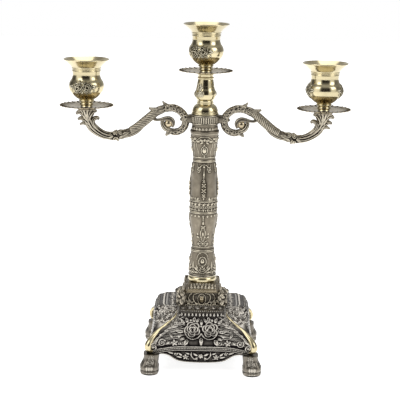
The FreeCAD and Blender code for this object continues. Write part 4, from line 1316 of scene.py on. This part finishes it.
# leaves of the arm: width, then (x, z, half thickness) from the stalk to the tip
ARM_BLADES = [
    (4.4, [(-117.0, 247.6, 2.4), (-119.8, 253.0, 2.8), (-123.2, 257.4, 2.7), (-127.2, 258.8, 2.1),
           (-130.8, 256.9, 0.9)]),
    (4.0, [(-115.0, 244.6, 2.4), (-118.4, 248.4, 2.4), (-122.0, 251.5, 2.2), (-125.8, 252.5, 1.7),
           (-129.0, 251.2, 0.8)]),
    (3.6, [(-110.6, 240.8, 2.2), (-115.2, 244.0, 2.2), (-119.2, 246.7, 1.9), (-123.2, 247.6, 1.4),
           (-127.0, 246.0, 0.7)]),
    (4.2, [(-118.4, 249.6, 2.2), (-116.8, 254.6, 2.7), (-114.6, 258.4, 2.6), (-112.0, 260.1, 1.7),
           (-109.6, 259.6, 0.8)]),
    (3.8, [(-107.6, 240.0, 1.6), (-111.8, 244.2, 1.9), (-113.8, 248.6, 2.0), (-112.4, 252.2, 1.9),
           (-109.4, 253.2, 1.6), (-107.2, 251.7, 0.8)]),
    (3.0, [(-92.4, 237.2, 1.9), (-90.8, 239.4, 1.3), (-89.6, 241.2, 0.6)]),
    (3.2, [(-88.6, 238.0, 2.0), (-85.8, 239.8, 1.5), (-82.8, 240.6, 0.7)]),
    (3.0, [(-90.8, 234.0, 2.0), (-88.8, 231.8, 1.4), (-87.4, 229.8, 0.7)]),
    (3.8, [(-85.0, 234.9, 1.6), (-77.0, 236.2, 2.0), (-69.0, 240.0, 2.0), (-61.8, 245.6, 0.8)]),
    (3.4, [(-45.6, 261.6, 2.2), (-50.4, 262.6, 1.7), (-54.0, 263.1, 1.2), (-57.0, 264.0, 0.8)]),
    (3.0, [(-37.6, 265.8, 2.0), (-40.4, 268.0, 1.4), (-42.0, 269.6, 0.9), (-43.1, 271.3, 0.5)]),
    (2.8, [(-21.0, 252.4, 1.8), (-23.4, 252.9, 1.3), (-25.4, 253.2, 0.7)]),
    (3.2, [(-34.6, 240.6, 2.2), (-37.6, 238.5, 1.6), (-39.6, 236.0, 0.7)]),
    (3.4, [(-35.4, 241.4, 1.9), (-39.8, 243.4, 2.2), (-42.4, 246.6, 2.0), (-43.2, 250.0, 1.6),
           (-41.6, 253.0, 1.0)]),
]


def arm(side):
    """The casting for one side. The right one is the left one turned half round."""
    both = smooth_path([(x, z) for x, z, w, t in ARM_LINE], 0.45)
    length = float(np.sum(np.hypot(*np.diff(both, axis=0).T)))
    core = [(x, z, w * ARM_CORE, t * ARM_CORE) for x, z, w, t in ARM_LINE]
    bar = bar_sweep(core, 84, 0.33, arm_relief(length))
    seat = [(0.2, 253.0), (4.0, 253.6), (4.6, 255.6), (5.6, 258.2), (7.2, 260.4), (8.5, 261.4), (8.6, 262.5),
            (0.2, 262.5)]
    flutes = Relief(-18, 18, 252, 261.6, wraps=True)
    for k in range(14):
        x = -18 + (k + 0.5) * 36 / 14
        flutes.stroke([(x, 252.5), (x, 261.0)], 0.9, 1.1, 0.6)
    sheets = [bar, turned_sheet(seat, 0.3, 120, flutes, 18 / math.pi, (-120.0, 0, 0), 0.2)]
    for seed, (width, stations) in enumerate(ARM_BLADES):
        sheets.append(leaf_blade(stations, width, seed))
    sheets += scroll_end()
    low, high = node_box("hub_ring")
    lug = [(-20.6, 254.0, 3.4, 3.8), (-18.0, 254.0, 3.6, 4.0), (-15.8, 254.0, 3.8, 4.4),
           (0.4 - (high[0] - low[0]) / 2, 254.0, 3.8, 4.6)]
    sheets.append(bar_sweep(lug, 40, 0.5, power=3.0))
    turn = 0 if side == "left" else 180
    sheets = [turned_about(sheet, turn) for sheet in sheets]
    make_piece(side + "_arm_casting", sheets, COLUMN, "root", [side + "_arm"])


def scroll_end():
    """The ball in the eye of the scroll, and the crescent round it that runs out as the tail."""
    ball = [(0.1, -4.4), (2.3, -3.7), (3.8, -2.2), (4.4, 0.0), (3.8, 2.2), (2.3, 3.7), (0.1, 4.4)]
    bead = turned_sheet(ball, 0.3, 48, at=(-36.9, 0, 248.6), gloss=1)
    ridge = Relief(-8, 8, 0, 40, wraps=True)
    for k in range(4):
        ridge.stroke([(-6 + 4 * k, 0), (-6 + 4 * k, 40)], 0.9, 0.7, 0.4)
    crescent = [(-32.8, 245.0, 2.8, 1.1), (-31.9, 248.8, 3.8, 1.9), (-33.4, 252.0, 4.2, 2.3),
                (-36.8, 253.7, 4.2, 2.4), (-40.8, 253.5, 3.8, 2.0), (-44.8, 252.6, 3.0, 1.5),
                (-48.4, 252.1, 2.4, 1.3), (-50.8, 252.7, 2.4, 1.7), (-52.4, 253.9, 1.5, 1.2)]
    return [bead, bar_sweep(crescent, 36, 0.4, ridge)]


# ---- carried-over CAD nodes ----
def finish_cad_nodes():
    """The nodes with no piece over them: the felt pads and the steel fasteners."""
    replaced = set()
    for piece in bpy.data.objects:
        replaced.update(piece.get("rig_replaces", []))
    for name, node in frame["nodes"].items():
        if name in replaced:
            continue
        node.data.materials.clear()
        node.data.materials.append(FELT if name == "foot_pads" else STEEL)


# ---- studio ----
def world_bands(scene):
    """Bright and dark upright bands that the metal reflects. The camera itself sees plain white."""
    world = bpy.data.worlds.new("studio")
    scene.world = world
    world.use_nodes = True
    tree = world.node_tree
    tree.nodes.clear()
    out = tree.nodes.new("ShaderNodeOutputWorld")
    mixer = tree.nodes.new("ShaderNodeMixShader")
    backdrop = tree.nodes.new("ShaderNodeBackground")
    reflected = tree.nodes.new("ShaderNodeBackground")
    backdrop.inputs["Color"].default_value = (1, 1, 1, 1)
    place = tree.nodes.new("ShaderNodeTexCoord")
    split = tree.nodes.new("ShaderNodeSeparateXYZ")
    tree.links.new(place.outputs["Generated"], split.inputs["Vector"])
    front = math_node(tree, "MULTIPLY", split.outputs["Y"], -1.0)
    angle = math_node(tree, "ARCTAN2", split.outputs["X"], front)
    turn = math_node(tree, "MULTIPLY_ADD", angle, 1 / TAU, 0.5)
    dark = (0.03, 0.028, 0.026)
    greys = ((0.00, 0.70), (0.10, 0.60), (0.14, 0.10), (0.24, 0.14), (0.29, 1.45), (0.38, 1.35),
             (0.62, 1.25), (0.69, 1.15), (0.74, 0.22), (0.87, 0.35), (1.0, 0.70))
    stops = sorted([(at, (grey,) * 3) for at, grey in greys] + [(0.42, dark), (0.585, dark)])
    high = math_node(tree, "MULTIPLY_ADD", split.outputs["Z"], 2.2, -0.9, clamp=True)
    colour = mix_node(tree, high, ramp_node(tree, stops, turn), (0.50, 0.50, 0.50))
    tree.links.new(colour, reflected.inputs["Color"])
    rays = tree.nodes.new("ShaderNodeLightPath")
    tree.links.new(rays.outputs["Is Camera Ray"], mixer.inputs["Fac"])
    tree.links.new(reflected.outputs["Background"], mixer.inputs[1])
    tree.links.new(backdrop.outputs["Background"], mixer.inputs[2])
    tree.links.new(mixer.outputs["Shader"], out.inputs["Surface"])


def lamps(scene):
    """Three area lights, aimed at the middle of the object."""
    aim = Vector((0, 0, 0.15))
    for name, place, size, power in (("key_left", (-0.9, -0.7, 1.1), 0.7, 3.4),
                                     ("key_right", (1.0, -0.5, 0.9), 0.6, 2.6),
                                     ("top", (0.0, 0.2, 1.5), 1.0, 6.5)):
        light = bpy.data.lights.new(name, "AREA")
        light.size = size
        light.energy = power
        lamp = bpy.data.objects.new(name, light)
        lamp.location = place
        lamp.rotation_euler = (aim - Vector(place)).to_track_quat("-Z", "Y").to_euler()
        scene.collection.objects.link(lamp)


def pale_floor(scene):
    mesh = bpy.data.meshes.new("floor")
    reach = 4.0
    corners = [(-reach, -reach, 0), (reach, -reach, 0), (reach, reach, 0), (-reach, reach, 0)]
    mesh.from_pydata(corners, [], [(0, 1, 2, 3)])
    floor = bpy.data.objects.new("floor", mesh)
    scene.collection.objects.link(floor)
    paint = bpy.data.materials.new("pale_floor")
    tree, shader = nodes_of(paint)
    tone = ramp_node(tree, [(0.3, (0.90,) * 3), (0.7, (0.93,) * 3)], noise_node(tree, 3.0, 2.0))
    tree.links.new(tone, shader.inputs["Base Color"])
    shader.inputs["Roughness"].default_value = 0.9
    shader.inputs["Emission Color"].default_value = (1, 1, 1, 1)
    shader.inputs["Emission Strength"].default_value = 0.85
    mesh.materials.append(paint)


def studio():
    scene = bpy.context.scene
    world_bands(scene)
    lamps(scene)
    pale_floor(scene)
    scene.view_settings.view_transform = "Standard"


def camera():
    data = bpy.data.cameras.new("camera")
    data.lens = 101.9
    data.sensor_width = 36.0
    data.clip_start = 0.01
    data.clip_end = 20.0
    cam = bpy.data.objects.new("camera", data)
    bpy.context.scene.collection.objects.link(cam)
    pitch = math.radians(12.8)
    roll = math.radians(1.0)
    turn = Matrix.Rotation(math.pi / 2 - pitch, 4, "X") @ Matrix.Rotation(roll, 4, "Z")
    cam.matrix_world = Matrix.Translation((-0.0036, -1.138, 0.428)) @ turn
    bpy.context.scene.camera = cam


def build():
    for side in STATIONS:
        candle_cup(side)
        drip_pan(side)
    column()
    hub()
    dome()
    baluster()
    plinth()
    base_panels()
    base_ribs()
    for corner in CORNERS:
        foot(corner)
    arm("left")
    arm("right")
    finish_cad_nodes()
    studio()
    camera()


build()
